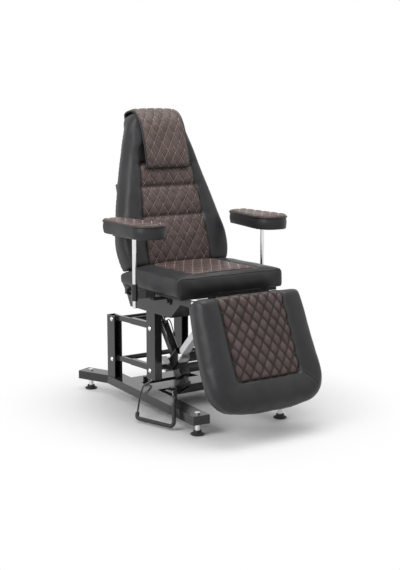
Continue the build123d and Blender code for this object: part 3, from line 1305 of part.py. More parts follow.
def pedal_sleeve():
    """The rubber sleeve over the outer part of the foot bar, with a bore for the rod."""
    before = Vector(*PEDAL_REAR_ROUTE[-1])
    begin = before + (Vector(*PEDAL_TREAD_ROUTE[0]) - before) * PEDAL_SLEEVE_START_SHARE
    after = Vector(*PEDAL_TREAD_ROUTE[-1])
    end = after + (Vector(*PEDAL_FRONT_ROUTE[0]) - after) * PEDAL_SLEEVE_END_SHARE
    points = [begin] + [Vector(*point) for point in PEDAL_TREAD_ROUTE] + [end]
    first = len(PEDAL_REAR_ROUTE) - 1
    wire = FilletPolyline(*points, radius=list(PEDAL_BENDS[first:first + len(PEDAL_TREAD_ROUTE)]))
    start = Plane(origin=begin, z_dir=points[1] - points[0])
    ring = Circle(PEDAL_SLEEVE_RADIUS) - Circle(PEDAL_ROD_RADIUS + PIN_PLAY)
    return sweep(start * ring, path=wire)


def control_box():
    """Plastic control box under the seat board, with a gland for the motor lead."""
    y1 = BOX_Y + BOX_DEPTH
    top = SEAT_BOARD_UNDERSIDE
    solid = block(BOX_X, BOX_X + BOX_WIDTH, BOX_Y, y1, top - BOX_HEIGHT, top)
    gland_x, gland_y, gland_z = LEAD_ROUTE[0]
    return solid + rod_z(gland_z - LEAD_RADIUS, top - BOX_HEIGHT, gland_x, gland_y, GLAND_RADIUS)


def run_arc_radii(points):
    """Arc radius at each corner of a cord: a share of the shorter run over the tangent of half the turn."""
    radii = []
    for before, corner, after in zip(points, points[1:], points[2:]):
        one = Vector(*corner) - Vector(*before)
        two = Vector(*after) - Vector(*corner)
        turn = radians(one.get_angle(two))
        radii.append(ROUTE_ARC_SHARE * min(one.length, two.length) / tan(turn / 2))
    return radii


def motor_lead():
    """The short motor lead: a tube of straight runs and tangent arcs from its gland to its connector."""
    low = LEAD_ROUTE[0][2] - LEAD_RADIUS
    points = ((LEAD_ROUTE[0][0], LEAD_ROUTE[0][1], low),) + LEAD_ROUTE[1:]
    radii = run_arc_radii(points)
    wire = FilletPolyline(*points, radius=radii)
    lead = sweep(Plane(origin=points[0], z_dir=(0, 0, -1)) * Circle(LEAD_RADIUS), path=wire)
    print("motor lead radii", [round(radius) for radius in radii], "length", round(wire.length, 1))
    section = pi * LEAD_RADIUS ** 2
    print(f"volume over section times length {lead.volume / (wire.length * section):.4f}")
    return lead


def lead_connector():
    """Small two-way connector on the end of the motor lead."""
    end = Vector(*LEAD_ROUTE[-1])
    run = (end - Vector(*LEAD_ROUTE[-2])).normalized()
    place = Plane(origin=end, z_dir=run)
    body = extrude(place * Rectangle(CONNECTOR_WIDTH, CONNECTOR_DEPTH), CONNECTOR_LENGTH)
    return body


def build_base():
    """Writes the pieces that stand on the floor."""
    save("right_rail", rail())
    save("left_rail", left_of(rail()))
    save("rail_end_caps", end_caps())
    save("foot_stems", foot_stems())
    save("foot_lock_nuts", foot_nuts())
    save("foot_pads", foot_pads())
    save("front_cross_member", front_member())
    save("rear_cross_member", rear_member())
    save("right_upright", upright())
    save("left_upright", left_of(upright()))
    save("rear_pivot_bolts", pivot_bolts(UPRIGHT_WIDTH, REAR_PIVOT_Y, 0))
    save("foot_bar_rod", pedal_rod())
    save("foot_bar_sleeve", pedal_sleeve())


def build_lift():
    """Writes the lift arms and everything fixed to the carrier."""
    save("upper_lift_arms", lift_frame(UPPER_PIVOT_Z, True))
    save("lower_lift_arms", lift_frame(LOWER_PIVOT_Z, False))
    save("right_carrier_post", carrier_post())
    save("left_carrier_post", left_of(carrier_post()))
    save("front_pivot_bolts", pivot_bolts(CARRIER_WIDTH, FRONT_PIVOT_Y, FRONT_PIVOT_RISE))
    save("motor_beam", motor_beam())
    save("seat_housing_right", housing_side())
    save("seat_housing_left", left_of(housing_side()))
    save("seat_housing_front", housing_front())
    save("seat_hinge_pins", hinge_pins())
    save("seat_board", seat_board())
    save("seat_cushion", seat_cushion())
    save("seat_quilted_panel", seat_panel())
    save("control_box", control_box())
    save("motor_lead", motor_lead())
    save("lead_connector", lead_connector())


def build_back():
    """Writes the backrest."""
    save("back_frame", back_frame())
    save("back_board", back_place(back_board()))
    save("back_cushion", back_place(back_cushion()))
    save("back_quilted_panel", back_place(back_panel()))
    save("headrest_pad", back_place(headrest_pad()))


def build_leg():
    """Writes the leg rest."""
    save("leg_frame", leg_frame())
    save("leg_board", leg_place(leg_board()))
    save("leg_cushion", leg_place(leg_cushion()))
    save("leg_quilted_panel", leg_place(leg_panel()))


ACTUATORS = (
    (
        "lift", LIFT_ACTUATOR_X, (LIFT_FOOT_Y, LIFT_FOOT_Z), (LIFT_EYE_Y, LIFT_EYE_Z),
        LIFT_RETRACTION, (LIFT_SLOT_SHIFT, LIFT_SLOT_PLAY, LIFT_SLOT_SLACK), GUIDE_LONG_SHARE,
    ),
    (
        "back", BACK_ACTUATOR_X, (BACK_ACTUATOR_Y, BACK_ACTUATOR_Z), (BACK_EYE_Y, BACK_EYE_Z),
        BACK_RETRACTION, (BACK_SLOT_SHIFT, BACK_SLOT_PLAY, BACK_SLOT_SLACK), GUIDE_SHORT_SHARE,
    ),
    (
        "leg", LEG_ACTUATOR_X, (LEG_ACTUATOR_Y, LEG_ACTUATOR_Z), (LEG_EYE_Y, LEG_EYE_Z),
        LEG_RETRACTION, (LEG_SLOT_SHIFT, LEG_SLOT_PLAY, LEG_SLOT_SLACK), GUIDE_LONG_SHARE,
    ),
)


def build_actuators():
    """Writes the three actuators as a drive unit, a motor and a rod each."""
    for name, x, foot, eye, retraction, slot, guide_share in ACTUATORS:
        drive, motor, rod = actuator(x, foot, eye, retraction, slot, guide_share)
        save(name + "_actuator_drive", drive)
        save(name + "_actuator_motor", motor)
        save(name + "_actuator_rod", rod)


def build_arms():
    """Writes both armrests."""
    pieces = {
        "armrest_bracket": clamp_bracket(),
        "clamp_knob": clamp_knob(),
        "armrest_post": arm_post(),
        "armrest_plate": pad_place(arm_plate()),
        "armrest_pad": pad_place(arm_pad()),
        "armrest_quilted_panel": pad_place(arm_panel()),
    }
    for name, piece in pieces.items():
        save("right_" + name, piece)
        save("left_" + name, left_of(piece))


build_base()
build_lift()
build_back()
build_leg()
build_actuators()
build_arms()
print(len(written), "nodes written")
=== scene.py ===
"""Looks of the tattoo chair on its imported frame. Metres, +Z up, the sitter faces -Y."""
import json
import logging
import math
from abc import ABC, abstractmethod
from dataclasses import dataclass, field
from enum import Enum
from typing import Callable, Sequence

import bmesh
import bpy
import numpy as np
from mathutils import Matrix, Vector


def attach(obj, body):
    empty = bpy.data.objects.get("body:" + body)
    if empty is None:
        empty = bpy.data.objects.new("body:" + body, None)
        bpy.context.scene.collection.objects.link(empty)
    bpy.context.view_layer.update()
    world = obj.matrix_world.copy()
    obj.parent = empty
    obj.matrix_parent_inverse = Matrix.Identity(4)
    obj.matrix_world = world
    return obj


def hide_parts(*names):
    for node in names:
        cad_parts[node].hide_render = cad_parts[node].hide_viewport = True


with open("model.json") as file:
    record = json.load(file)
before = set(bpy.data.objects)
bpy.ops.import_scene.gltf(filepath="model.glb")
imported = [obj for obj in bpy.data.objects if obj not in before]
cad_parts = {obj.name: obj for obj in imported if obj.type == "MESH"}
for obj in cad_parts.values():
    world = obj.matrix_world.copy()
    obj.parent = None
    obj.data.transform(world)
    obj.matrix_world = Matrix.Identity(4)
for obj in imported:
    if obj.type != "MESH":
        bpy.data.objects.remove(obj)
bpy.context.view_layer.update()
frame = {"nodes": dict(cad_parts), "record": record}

LOG = logging.getLogger("tattoo_chair")

Pair = tuple[float, float]
Triple = tuple[float, float, float]
Placed = tuple[Vector, Vector]
Socket = bpy.types.NodeSocket
Tree = bpy.types.NodeTree
Mesh = bpy.types.Mesh
Piece = bpy.types.Object

ORIGIN_Y = 0.3596  # how far the origin lies behind the front feet
UP = Vector((0, 0, 1))
WHITE = (1.0, 1.0, 1.0, 1.0)
NEAR = 0.001  # half the reach over which a slope is taken
MERGE = 1e-5  # corners of a construction solid this close are one
FULL_SHARE = 0.04  # a cushion's cover is rounded in full this far before its board
LEAST_SHARE = 0.02  # what is left of the rounding at the board


def at(x: float, y: float, z: float) -> Vector:
    """A point of the construction layout, whose y = 0 is the line of the front feet."""
    return Vector((x, y - ORIGIN_Y, z))


@dataclass(frozen=True)
class Tilt:
    """A frame that leans in the Y-Z plane, as the back and the leg rest do."""

    y: float
    z: float
    degrees: float

    def sin_cos(self) -> Pair:
        """Sine and cosine of the lean."""
        angle = math.radians(self.degrees)
        return math.sin(angle), math.cos(angle)

    def turn(self, x: float, y: float, z: float) -> Vector:
        """A direction given in the leaning frame."""
        s, c = self.sin_cos()
        return Vector((x, y * c + z * s, z * c - y * s))

    def place(self, x: float, y: float, z: float) -> Vector:
        """A point given in the leaning frame."""
        return at(0, self.y, self.z) + self.turn(x, y, z)

    def matrix(self) -> np.ndarray:
        """Turns rows of leaning-frame points into the chair's directions."""
        s, c = self.sin_cos()
        return np.array([(1, 0, 0), (0, c, -s), (0, s, c)])

    def local_rows(self, points: np.ndarray) -> np.ndarray:
        """Rows of the chair's points in the leaning frame."""
        return (points - np.array(at(0, self.y, self.z))) @ self.matrix().T

    def place_rows(self, local: np.ndarray) -> np.ndarray:
        """Rows of leaning-frame points as the chair's points."""
        return local @ self.matrix() + np.array(at(0, self.y, self.z))

    def local(self, point: Vector) -> Triple:
        """A point of the chair in the leaning frame."""
        return tuple(self.local_rows(np.array([point]))[0])

    def share_before(self, points: np.ndarray, board: float) -> np.ndarray:
        """How far points take part in rounding: hardly at the board, in full before it."""
        return np.clip((-board - self.local_rows(points)[:, 1]) / FULL_SHARE, LEAST_SHARE, 1)


BACK = Tilt(0.562, 0.631, 16.0)
LEG = Tilt(0.026, 0.572, 23.5)


class Nodes:
    """A small helper that adds and joins the nodes of one tree."""

    def __init__(self, tree: Tree) -> None:
        """Keeps the tree."""
        self.tree = tree

    def add(self, kind: str, inputs: dict | None = None, **settings) -> bpy.types.Node:
        """Adds a node.

        Args:
            kind: the node's type name.
            inputs: socket name or number to a value or to another node's output.
            settings: attributes of the node itself.

        Returns:
            The new node.
        """
        node = self.tree.nodes.new(kind)
        for name, value in settings.items():
            setattr(node, name, value)
        for name, value in (inputs or {}).items():
            if isinstance(value, Socket):
                self.tree.links.new(value, node.inputs[name])
            else:
                node.inputs[name].default_value = value
        return node

    def math(self, operation: str, a: Socket | float, b: Socket | float | None = None) -> Socket:
        """The result of one Math node on numbers or sockets."""
        inputs = {0: a} if b is None else {0: a, 1: b}
        return self.add("ShaderNodeMath", inputs, operation=operation).outputs[0]

    def noise(self, place: Socket, scale: float, detail: float, **inputs) -> Socket:
        """Noise at a place."""
        values = {"Vector": place, "Scale": scale, "Detail": detail, **inputs}
        return self.add("ShaderNodeTexNoise", values).outputs[0]

    def ranged(
        self,
        value: Socket,
        low: Socket | float,
        high: Socket | float,
        to: Pair = (0.0, 1.0),
        curve: str = "LINEAR",
    ) -> Socket:
        """A value carried from one range into another, and held within it.

        Args:
            value: the value.
            low: where the first range starts.
            high: where the first range ends.
            to: the second range.
            curve: how the value runs between the ends.

        Returns:
            The value in the second range.
        """
        inputs = {"Value": value, 1: low, 2: high, 3: to[0], 4: to[1]}
        return self.add("ShaderNodeMapRange", inputs, interpolation_type=curve).outputs[0]

    def scaled(self, vector: Socket, factor: Socket) -> Socket:
        """A vector or a colour times a number."""
        inputs = {0: vector, 3: factor}
        return self.add("ShaderNodeVectorMath", inputs, operation="SCALE").outputs[0]

    def blend(self, share: Socket, one: Socket | Triple, two: Triple) -> Socket:
        """A colour between two others.

        Args:
            share: how far it goes to the second colour.
            one: the first colour.
            two: the second colour.

        Returns:
            The colour's socket.
        """
        first = one if isinstance(one, Socket) else (*one, 1)
        inputs = {0: share, 6: first, 7: (*two, 1)}
        return self.add("ShaderNodeMix", inputs, data_type="RGBA").outputs[2]

    def relief(self, strength: float, depth: float, height: Socket, **inputs) -> Socket:
        """The normal of a surface with a height laid over it."""
        values = {"Strength": strength, "Distance": depth, "Height": height, **inputs}
        return self.add("ShaderNodeBump", values).outputs[0]


def cleared(owner: bpy.types.Material | bpy.types.World) -> Nodes:
    """The helper for a material's or a world's nodes, of which there are none yet.

    Args:
        owner: the material or the world.

    Returns:
        The helper for its tree.
    """
    owner.use_nodes = True
    owner.node_tree.nodes.clear()
    return Nodes(owner.node_tree)


@dataclass(frozen=True)
class Surface(ABC):
    """What every finish has: a name, two close colours and a range of roughness."""

    name: str
    colour: Triple
    second: Triple
    rough: Pair
    patch: float = 9.0

    @abstractmethod
    def bump(self, nodes: Nodes, place: Socket) -> Socket:
        """Adds the finish's relief and returns its normal."""

    def tint(self, nodes: Nodes, place: Socket) -> Socket:
        """The colour, from patches of the finish's two colours."""
        cloud = nodes.noise(place, self.patch, 5.0)
        return nodes.blend(nodes.ranged(cloud, 0.35, 0.65), self.colour, self.second)

    def constants(self) -> dict[str, float]:
        """What is the same all over, by the shader's own sockets."""
        return {}

    def material(self) -> bpy.types.Material:
        """The finish as a material, made once.

        Returns:
            The material, shared by all pieces of this finish.
        """
        name = "finish_" + self.name
        known = bpy.data.materials.get(name)
        if known is not None:
            return known
        made = bpy.data.materials.new(name)
        nodes = cleared(made)
        place = nodes.add("ShaderNodeTexCoord").outputs["Object"]
        haze = nodes.noise(place, self.patch * 4, 4.0)
        shader = nodes.add("ShaderNodeBsdfPrincipled", {
            "Base Color": self.tint(nodes, place),
            "Roughness": nodes.ranged(haze, 0.3, 0.7, self.rough),
            "Normal": self.bump(nodes, place),
            **self.constants(),
        })
        nodes.add("ShaderNodeOutputMaterial", {0: shader.outputs[0]})
        return made


@dataclass(frozen=True)
class Leather(Surface):
    """Coated leather: a pebbled grain with fine creases, and painted shade that darkens it in the
    quilting's creases.
    """

    grain: float = 620.0
    depth: float = 0.00035
    # how strongly the quilting's creases are darkened: painted shade
    crest: float = 0.0
    scuffing: float = 60.0
    swell: float = 28.0
    swell_depth: float = 0.0016

    def tint(self, nodes: Nodes, place: Socket) -> Socket:
        """Patches of two colours, with painted shade darkening the quilting's creases, and lighter
        where worn.

        Args:
            nodes: the helper for the material's tree.
            place: the place in the piece's own coordinates.

        Returns:
            The colour's socket.
        """
        base = super().tint(nodes, place)
        if self.crest <= 0:
            return base
        # painted shade: the colour darkens towards the quilting's creases, where shade falls
        lift = nodes.add("ShaderNodeAttribute", attribute_name="crest").outputs["Fac"]
        shade = nodes.ranged(lift, 0.0, 0.75, (1.0 - self.crest, 1.0))
        scuffs = nodes.noise(place, self.scuffing, 8.0, Roughness=0.7)
        worn = nodes.ranged(scuffs, 0.5, 0.75, (1.0, 1.35))
        return nodes.scaled(base, nodes.math("MULTIPLY", shade, worn))

    def bump(self, nodes: Nodes, place: Socket) -> Socket:
        """Pebbles from cells, with finer creases between them and broad soft unevenness.

        Args:
            nodes: the helper for the material's tree.
            place: the place in the piece's own coordinates.

        Returns:
            The normal's socket.
        """
        inputs = {"Vector": place, "Scale": self.grain}
        cells = nodes.add("ShaderNodeTexVoronoi", inputs, feature="SMOOTH_F1").outputs["Distance"]
        fine = nodes.noise(place, self.grain / 2, 6.0)
        broad = nodes.noise(place, self.swell, 3.0)
        pebbled = nodes.relief(0.5, self.depth, nodes.math("ADD", cells, fine))
        return nodes.relief(0.35, self.swell_depth, broad, Normal=pebbled)

    def constants(self) -> dict[str, float]:
        """A dull coat."""
        return {"IOR": 1.45, "Specular IOR Level": 0.27}


@dataclass(frozen=True)
class Painted(Surface):
    """Powder coat or moulded plastic: a fine orange peel."""

    peel: float = 900.0
    depth: float = 0.0001

    def bump(self, nodes: Nodes, place: Socket) -> Socket:
        """Fine rounded unevenness."""
        return nodes.relief(0.5, self.depth, nodes.noise(place, self.peel, 3.0))


@dataclass(frozen=True)
class Brushed(Surface):
    """Plated or drawn metal with fine lines that run along one axis."""

    stretch: Triple = (1.0, 1.0, 0.04)
    lines: float = 1400.0
    depth: float = 0.00002

    def bump(self, nodes: Nodes, place: Socket) -> Socket:
        """Fine drawn lines."""
        long = nodes.add("ShaderNodeMapping", {"Vector": place, "Scale": self.stretch})
        return nodes.relief(0.4, self.depth, nodes.noise(long.outputs[0], self.lines, 4.0))

    def constants(self) -> dict[str, float]:
        """Bare metal."""
        return {"Metallic": 1.0}


@dataclass(frozen=True)
class HousedTube(Brushed):
    """A drawn tube whose rear end is a dark gear housing."""

    housing: Triple = (0.02, 0.02, 0.021)
    split: float = -0.105

    def tint(self, nodes: Nodes, place: Socket) -> Socket:
        """The tube's colour in front of the split and the housing's behind it.

        Args:
            nodes: the helper for the material's tree.
            place: the place in the piece's own coordinates.

        Returns:
            The colour's socket.
        """
        along = nodes.add("ShaderNodeSeparateXYZ", {0: place}).outputs[1]
        behind = nodes.math("GREATER_THAN", along, self.split)
        return nodes.blend(behind, super().tint(nodes, place), self.housing)


@dataclass(frozen=True)
class Woven(Surface):
    """Backing cloth or thread: two sets of fine ribs that cross."""

    pitch: float = 0.0012
    depth: float = 0.0003

    def bump(self, nodes: Nodes, place: Socket) -> Socket:
        """Ribs both ways.

        Args:
            nodes: the helper for the material's tree.
            place: the place in the piece's own coordinates.

        Returns:
            The normal's socket.
        """
        inputs = {"Vector": place, "Scale": 0.31 / self.pitch, "Distortion": 0.4}
        ribs = [nodes.add("ShaderNodeTexWave", inputs, bands_direction=axis).outputs["Fac"]
                for axis in ("X", "Z")]
        return nodes.relief(0.6, self.depth, nodes.math("ADD", *ribs))


@dataclass(frozen=True)
class Plywood(Painted):
    """Dark-stained board with long soft figure."""

    figure: Triple = (2.0, 14.0, 14.0)

    def tint(self, nodes: Nodes, place: Socket) -> Socket:
        """The board's long figure."""
        long = nodes.add("ShaderNodeMapping", {"Vector": place, "Scale": self.figure})
        return super().tint(nodes, long.outputs[0])


# Colour, second colour, roughness and size of the patches of two finishes that are shared.
BROWN = (0.063, 0.043, 0.041), (0.098, 0.068, 0.063), (0.33, 0.46), 16.0
DRAWN_GREY = (0.62, 0.62, 0.63), (0.7, 0.7, 0.71), (0.3, 0.4), 12.0


class Finish(Enum):
    """The chair's finishes, under the record's names for them."""

    black_leather = Leather(
        "black_leather", (0.021, 0.021, 0.0225), (0.029, 0.029, 0.031), (0.33, 0.45), 5.0)
    # crest paints shade into the quilting's creases; the second brown finish paints it deeper, for
    # the leg rest
    brown_leather = Leather("brown_leather", *BROWN, crest=0.42)
    deep_quilting = Leather("deep_quilting", *BROWN, crest=0.75)
    black_piping = Leather(
        "black_piping", (0.014, 0.014, 0.015), (0.02, 0.02, 0.021), (0.34, 0.42), 30.0)
    black_steel = Painted(
        "black_steel", (0.016, 0.016, 0.017), (0.021, 0.021, 0.022), (0.14, 0.22), 7.0)
    chrome_steel = Brushed(
        "chrome_steel", (0.72, 0.72, 0.73), (0.8, 0.8, 0.8), (0.1, 0.2), 14.0)
    bright_rod = Brushed("bright_rod", (0.6, 0.6, 0.61), (0.7, 0.7, 0.7), (0.16, 0.26), 14.0)
    grey_aluminium = Brushed("grey_aluminium", *DRAWN_GREY, depth=0.00005)
    leg_drive = HousedTube("leg_drive", *DRAWN_GREY, depth=0.00005)
    black_rubber = Painted(
        "black_rubber", (0.016, 0.016, 0.016), (0.024, 0.024, 0.024), (0.62, 0.76), 20.0,
        1600.0, 0.00025)
    black_plastic = Painted(
        "black_plastic", (0.018, 0.018, 0.019), (0.024, 0.024, 0.026), (0.38, 0.5), 12.0,
        1800.0, 0.00014)
    lead_sheath = Painted(
        "lead_sheath", (0.012, 0.012, 0.012), (0.018, 0.018, 0.018), (0.42, 0.52), 30.0,
        1500.0, 0.00006)
    plywood = Plywood(
        "plywood", (0.05, 0.034, 0.022), (0.09, 0.06, 0.038), (0.5, 0.65), 8.0,
        700.0, 0.00012)
    backing_cloth = Woven(
        "backing_cloth", (0.014, 0.014, 0.015), (0.02, 0.02, 0.022), (0.7, 0.85), 12.0)
    pale_thread = Woven(
        "pale_thread", (0.48, 0.39, 0.33), (0.60, 0.50, 0.43), (0.6, 0.75), 90.0,
        0.0006, 0.0001)
    dark_thread = Woven(
        "dark_thread", (0.02, 0.02, 0.021), (0.035, 0.035, 0.036), (0.6, 0.75), 90.0,
        0.0006, 0.0001)

    @property
    def material(self) -> bpy.types.Material:
        """The finish's material."""
        return self.value.material()


def new_object(name: str, data: bpy.types.ID) -> Piece:
    """A new object at the origin, in the scene.

    Args:
        name: the object's name.
        data: its mesh, curve, lamp or camera.

    Returns:
        The object.
    """
    made = bpy.data.objects.new(name, data)
    bpy.context.scene.collection.objects.link(made)
    return made


def mesh_of(name: str, work: bmesh.types.BMesh) -> Mesh:
    """The mesh of a working mesh, which is given up.

    Args:
        name: the mesh's name.
        work: the working mesh.

    Returns:
        The plain mesh.
    """
    mesh = bpy.data.meshes.new(name)
    work.to_mesh(mesh)
    work.free()
    return mesh


def evaluated_mesh(obj: Piece) -> Mesh:
    """The object's mesh with its modifiers applied.

    Args:
        obj: a mesh or curve object.

    Returns:
        A new mesh.
    """
    graph = bpy.context.evaluated_depsgraph_get()
    graph.update()
    return bpy.data.meshes.new_from_object(obj.evaluated_get(graph), depsgraph=graph)


def bake_modifiers(obj: Piece) -> None:
    """Replaces a mesh object's mesh by its evaluated one and drops the modifiers.

    Args:
        obj: the mesh object.
    """
    made = evaluated_mesh(obj)
    obj.modifiers.clear()
    old = obj.data
    obj.data = made
    bpy.data.meshes.remove(old)


def per_vertex(mesh: Mesh, attribute: str) -> np.ndarray:
    """A three-part attribute of the mesh's points, as an array of rows.

    Args:
        mesh: the mesh.
        attribute: the attribute's name.

    Returns:
        One row for each point.
    """
    flat = np.empty(len(mesh.vertices) * 3)
    mesh.vertices.foreach_get(attribute, flat)
    return flat.reshape(-1, 3)


def coordinates(mesh: Mesh) -> np.ndarray:
    """The mesh's points as an array of rows."""
    return per_vertex(mesh, "co")


def set_coordinates(mesh: Mesh, points: np.ndarray) -> None:
    """Writes the mesh's points."""
    mesh.vertices.foreach_set("co", points.ravel())
    mesh.update()


def away_from(points: np.ndarray, line: Sequence[Vector]) -> np.ndarray:
    """The distance of each point from a row of straight runs.

    Args:
        points: rows of points.
        line: the corners of the runs.

    Returns:
        One distance for each point.
    """
    least = np.full(len(points), np.inf)
    for one, two in zip(line, line[1:]):
        start, run = np.array(one), np.array(two) - np.array(one)
        share = np.clip((points - start) @ run / max(run @ run, 1e-12), 0, 1)
        least = np.minimum(least, np.linalg.norm(points - start - share[:, None] * run, axis=1))
    return least


def smooth_points(mesh: Mesh, points: np.ndarray, steps: int, weight: np.ndarray) -> np.ndarray:
    """Evens points out between their neighbours.

    Args:
        mesh: gives the edges.
        points: the points to start from.
        steps: how often each point moves half way to its neighbours' middle.
        weight: how far each point takes part, from 0 to 1.

    Returns:
        The new points.
    """
    edges = np.empty(len(mesh.edges) * 2, dtype=np.int64)
    mesh.edges.foreach_get("vertices", edges)
    one, two = edges.reshape(-1, 2).T
    count = len(points)
    shared = np.bincount(one, minlength=count) + np.bincount(two, minlength=count)
    share = (0.5 * weight)[:, None]
    for _ in range(steps):
        total = np.stack([
            np.bincount(one, points[two, k], count) + np.bincount(two, points[one, k], count)
            for k in range(3)
        ], axis=1)
        points = points + (total / shared[:, None] - points) * share
    return points


def spread(low: float, high: float, steps: int) -> list[float]:
    """Numbers at even steps from one end to the other."""
    return [low + (high - low) * step / steps for step in range(steps + 1)]


def run_tree(obj: Piece, tree: Tree, values: dict) -> Mesh:
    """Runs a node tree on an object and returns the plain mesh.

    Args:
        obj: the mesh or curve that the tree starts from.
        tree: the node tree.
        values: input name to value.

    Returns:
        The finished mesh. The modifier is gone again.
    """
    modifier = obj.modifiers.new("grow", "NODES")
    modifier.node_group = tree
    for item in tree.interface.items_tree:
        if item.item_type == "SOCKET" and item.in_out == "INPUT" and item.name in values:
            modifier[item.identifier] = values[item.name]
    made = evaluated_mesh(obj)
    obj.modifiers.remove(modifier)
    return made


def new_tree(name: str, **inputs: float) -> tuple[Nodes, bpy.types.Node]:
    """Starts a geometry node tree, whose last input is its material.

    Args:
        name: the tree's name.
        inputs: default of each number after the geometry, with underscores for spaces.

    Returns:
        The helper and the group's input node.
    """
    tree = bpy.data.node_groups.new(name, "GeometryNodeTree")
    sockets = tree.interface
    sockets.new_socket("Geometry", in_out="INPUT", socket_type="NodeSocketGeometry")
    for label, default in inputs.items():
        kind = "NodeSocketInt" if isinstance(default, int) else "NodeSocketFloat"
        socket = sockets.new_socket(label.replace("_", " "), in_out="INPUT", socket_type=kind)
        socket.default_value = default
    sockets.new_socket("Material", in_out="INPUT", socket_type="NodeSocketMaterial")
    sockets.new_socket("Geometry", in_out="OUTPUT", socket_type="NodeSocketGeometry")
    nodes = Nodes(tree)
    return nodes, nodes.add("NodeGroupInput")


def close_tree(nodes: Nodes, source: bpy.types.Node, geometry: Socket) -> Tree:
    """Ends a tree in Realize Instances, smooth shading and Set Material.

    Args:
        nodes: the tree's helper.
        source: the tree's input node.
        geometry: what has been made.

    Returns:
        The finished tree.
    """
    real = nodes.add("GeometryNodeRealizeInstances", {0: geometry})
    smooth = nodes.add("GeometryNodeSetShadeSmooth", {0: real.outputs[0]})
    inputs = {0: smooth.outputs[0], "Material": source.outputs["Material"]}
    dress = nodes.add("GeometryNodeSetMaterial", inputs)
    nodes.add("NodeGroupOutput", {0: dress.outputs[0]})
    return nodes.tree


def quilting_tree() -> Tree:
    """Lifts a panel into diamonds: a point rises by its place between two families of seams, and
    how far it rose is kept for the leather's painted crease shade.

    Returns:
        The finished tree.
    """
    nodes, source = new_tree("diamond_quilting",
                             Puff_Height=0.004, Crease_Power=0.5, Border_Width=0.012)
    lattice, lift = (
        nodes.add("GeometryNodeInputNamedAttribute", {"Name": name}, data_type="FLOAT_VECTOR")
        for name in ("lattice", "lift")
    )
    parts = nodes.add("ShaderNodeSeparateXYZ", {0: lattice.outputs[0]}).outputs
    waves = [
        nodes.math("ABSOLUTE", nodes.math("SINE", nodes.math("MULTIPLY", parts[axis], math.pi)))
        for axis in (0, 1)
    ]
    pillow = nodes.math("POWER", nodes.math("MULTIPLY", *waves), source.outputs["Crease Power"])
    border = nodes.ranged(parts[2], 0.0, source.outputs["Border Width"], curve="SMOOTHSTEP")
    crest = nodes.math("MULTIPLY", pillow, border)
    height = nodes.math("MULTIPLY", crest, source.outputs["Puff Height"])
    inputs = {0: source.outputs[0], "Offset": nodes.scaled(lift.outputs[0], height)}
    moved = nodes.add("GeometryNodeSetPosition", inputs)
    # the crest is kept so that the leather can paint shade into the creases
    inputs = {0: moved.outputs[0], "Name": "crest", "Value": crest}
    kept = nodes.add("GeometryNodeStoreNamedAttribute", inputs, data_type="FLOAT", domain="POINT")
    return close_tree(nodes, source, kept.outputs[0])


def set_along(nodes: Nodes, source: bpy.types.Node, piece: Socket, scale: Socket) -> Tree:
    """Ends a tree that sets a small piece at each pitch of a curve, turned along it.

    Args:
        nodes: the tree's helper.
        source: the tree's input node.
        piece: the small piece.
        scale: its size.

    Returns:
        The finished tree.
    """
    inputs = {0: source.outputs[0], "Length": source.outputs["Pitch"]}
    points = nodes.add("GeometryNodeCurveToPoints", inputs, mode="LENGTH").outputs
    sewn = nodes.add("GeometryNodeInstanceOnPoints", {
        0: points["Points"], "Instance": piece, "Rotation": points["Rotation"], "Scale": scale,
    })
    return close_tree(nodes, source, sewn.outputs[0])


def stitching_tree() -> Tree:
    """Sews a curve: one rounded stitch after another along it.

    Returns:
        The finished tree.
    """
    nodes, source = new_tree("stitching",
                             Pitch=0.0052, Stitch_Length=0.0042, Thread_Width=0.0013, Seed=3)
    ball = nodes.add("GeometryNodeMeshIcoSphere", {"Radius": 0.5, "Subdivisions": 1})
    width, length = source.outputs["Thread Width"], source.outputs["Stitch Length"]
    size = nodes.add("ShaderNodeCombineXYZ", {0: width, 1: width, 2: length})
    inputs = {2: 0.9, 3: 1.08, "Seed": source.outputs["Seed"]}
    jitter = nodes.add("FunctionNodeRandomValue", inputs, data_type="FLOAT")
    scale = nodes.scaled(size.outputs[0], jitter.outputs[1])
    return set_along(nodes, source, ball.outputs[0], scale)


def piping_tree() -> Tree:
    """A round welt along a curve.

    Returns:
        The finished tree.
    """
    nodes, source = new_tree("piping", Radius=0.003, Sides=10)
    inputs = {"Resolution": source.outputs["Sides"], "Radius": source.outputs["Radius"]}
    ring = nodes.add("GeometryNodeCurvePrimitiveCircle", inputs)
    inputs = {0: source.outputs[0], 1: ring.outputs[0], "Fill Caps": True}
    tube = nodes.add("GeometryNodeCurveToMesh", inputs)
    return close_tree(nodes, source, tube.outputs[0])


def staple_tree() -> Tree:
    """A row of wire staples along a curve, lying across it.

    Returns:
        The finished tree.
    """
    nodes, source = new_tree("staples", Pitch=0.03, Crown=0.010, Wire=0.0011)
    inputs = {"Size": (1.0, 1.0, 1.0), "Vertices X": 2, "Vertices Y": 2, "Vertices Z": 4}
    bar = nodes.add("GeometryNodeMeshCube", inputs)
    wire, crown = source.outputs["Wire"], source.outputs["Crown"]
    size = nodes.add("ShaderNodeCombineXYZ", {0: wire, 1: wire, 2: crown})
    return set_along(nodes, source, bar.outputs[0], size.outputs[0])


class Trees:
    """The node trees, each built once."""

    made: dict[str, Tree] = {}

    @classmethod
    def get(cls, build: Callable[[], Tree]) -> Tree:
        """The tree that a function builds.

        Args:
            build: the function.

        Returns:
            The tree, built at the first call.
        """
        if build.__name__ not in cls.made:
            cls.made[build.__name__] = build()
        return cls.made[build.__name__]


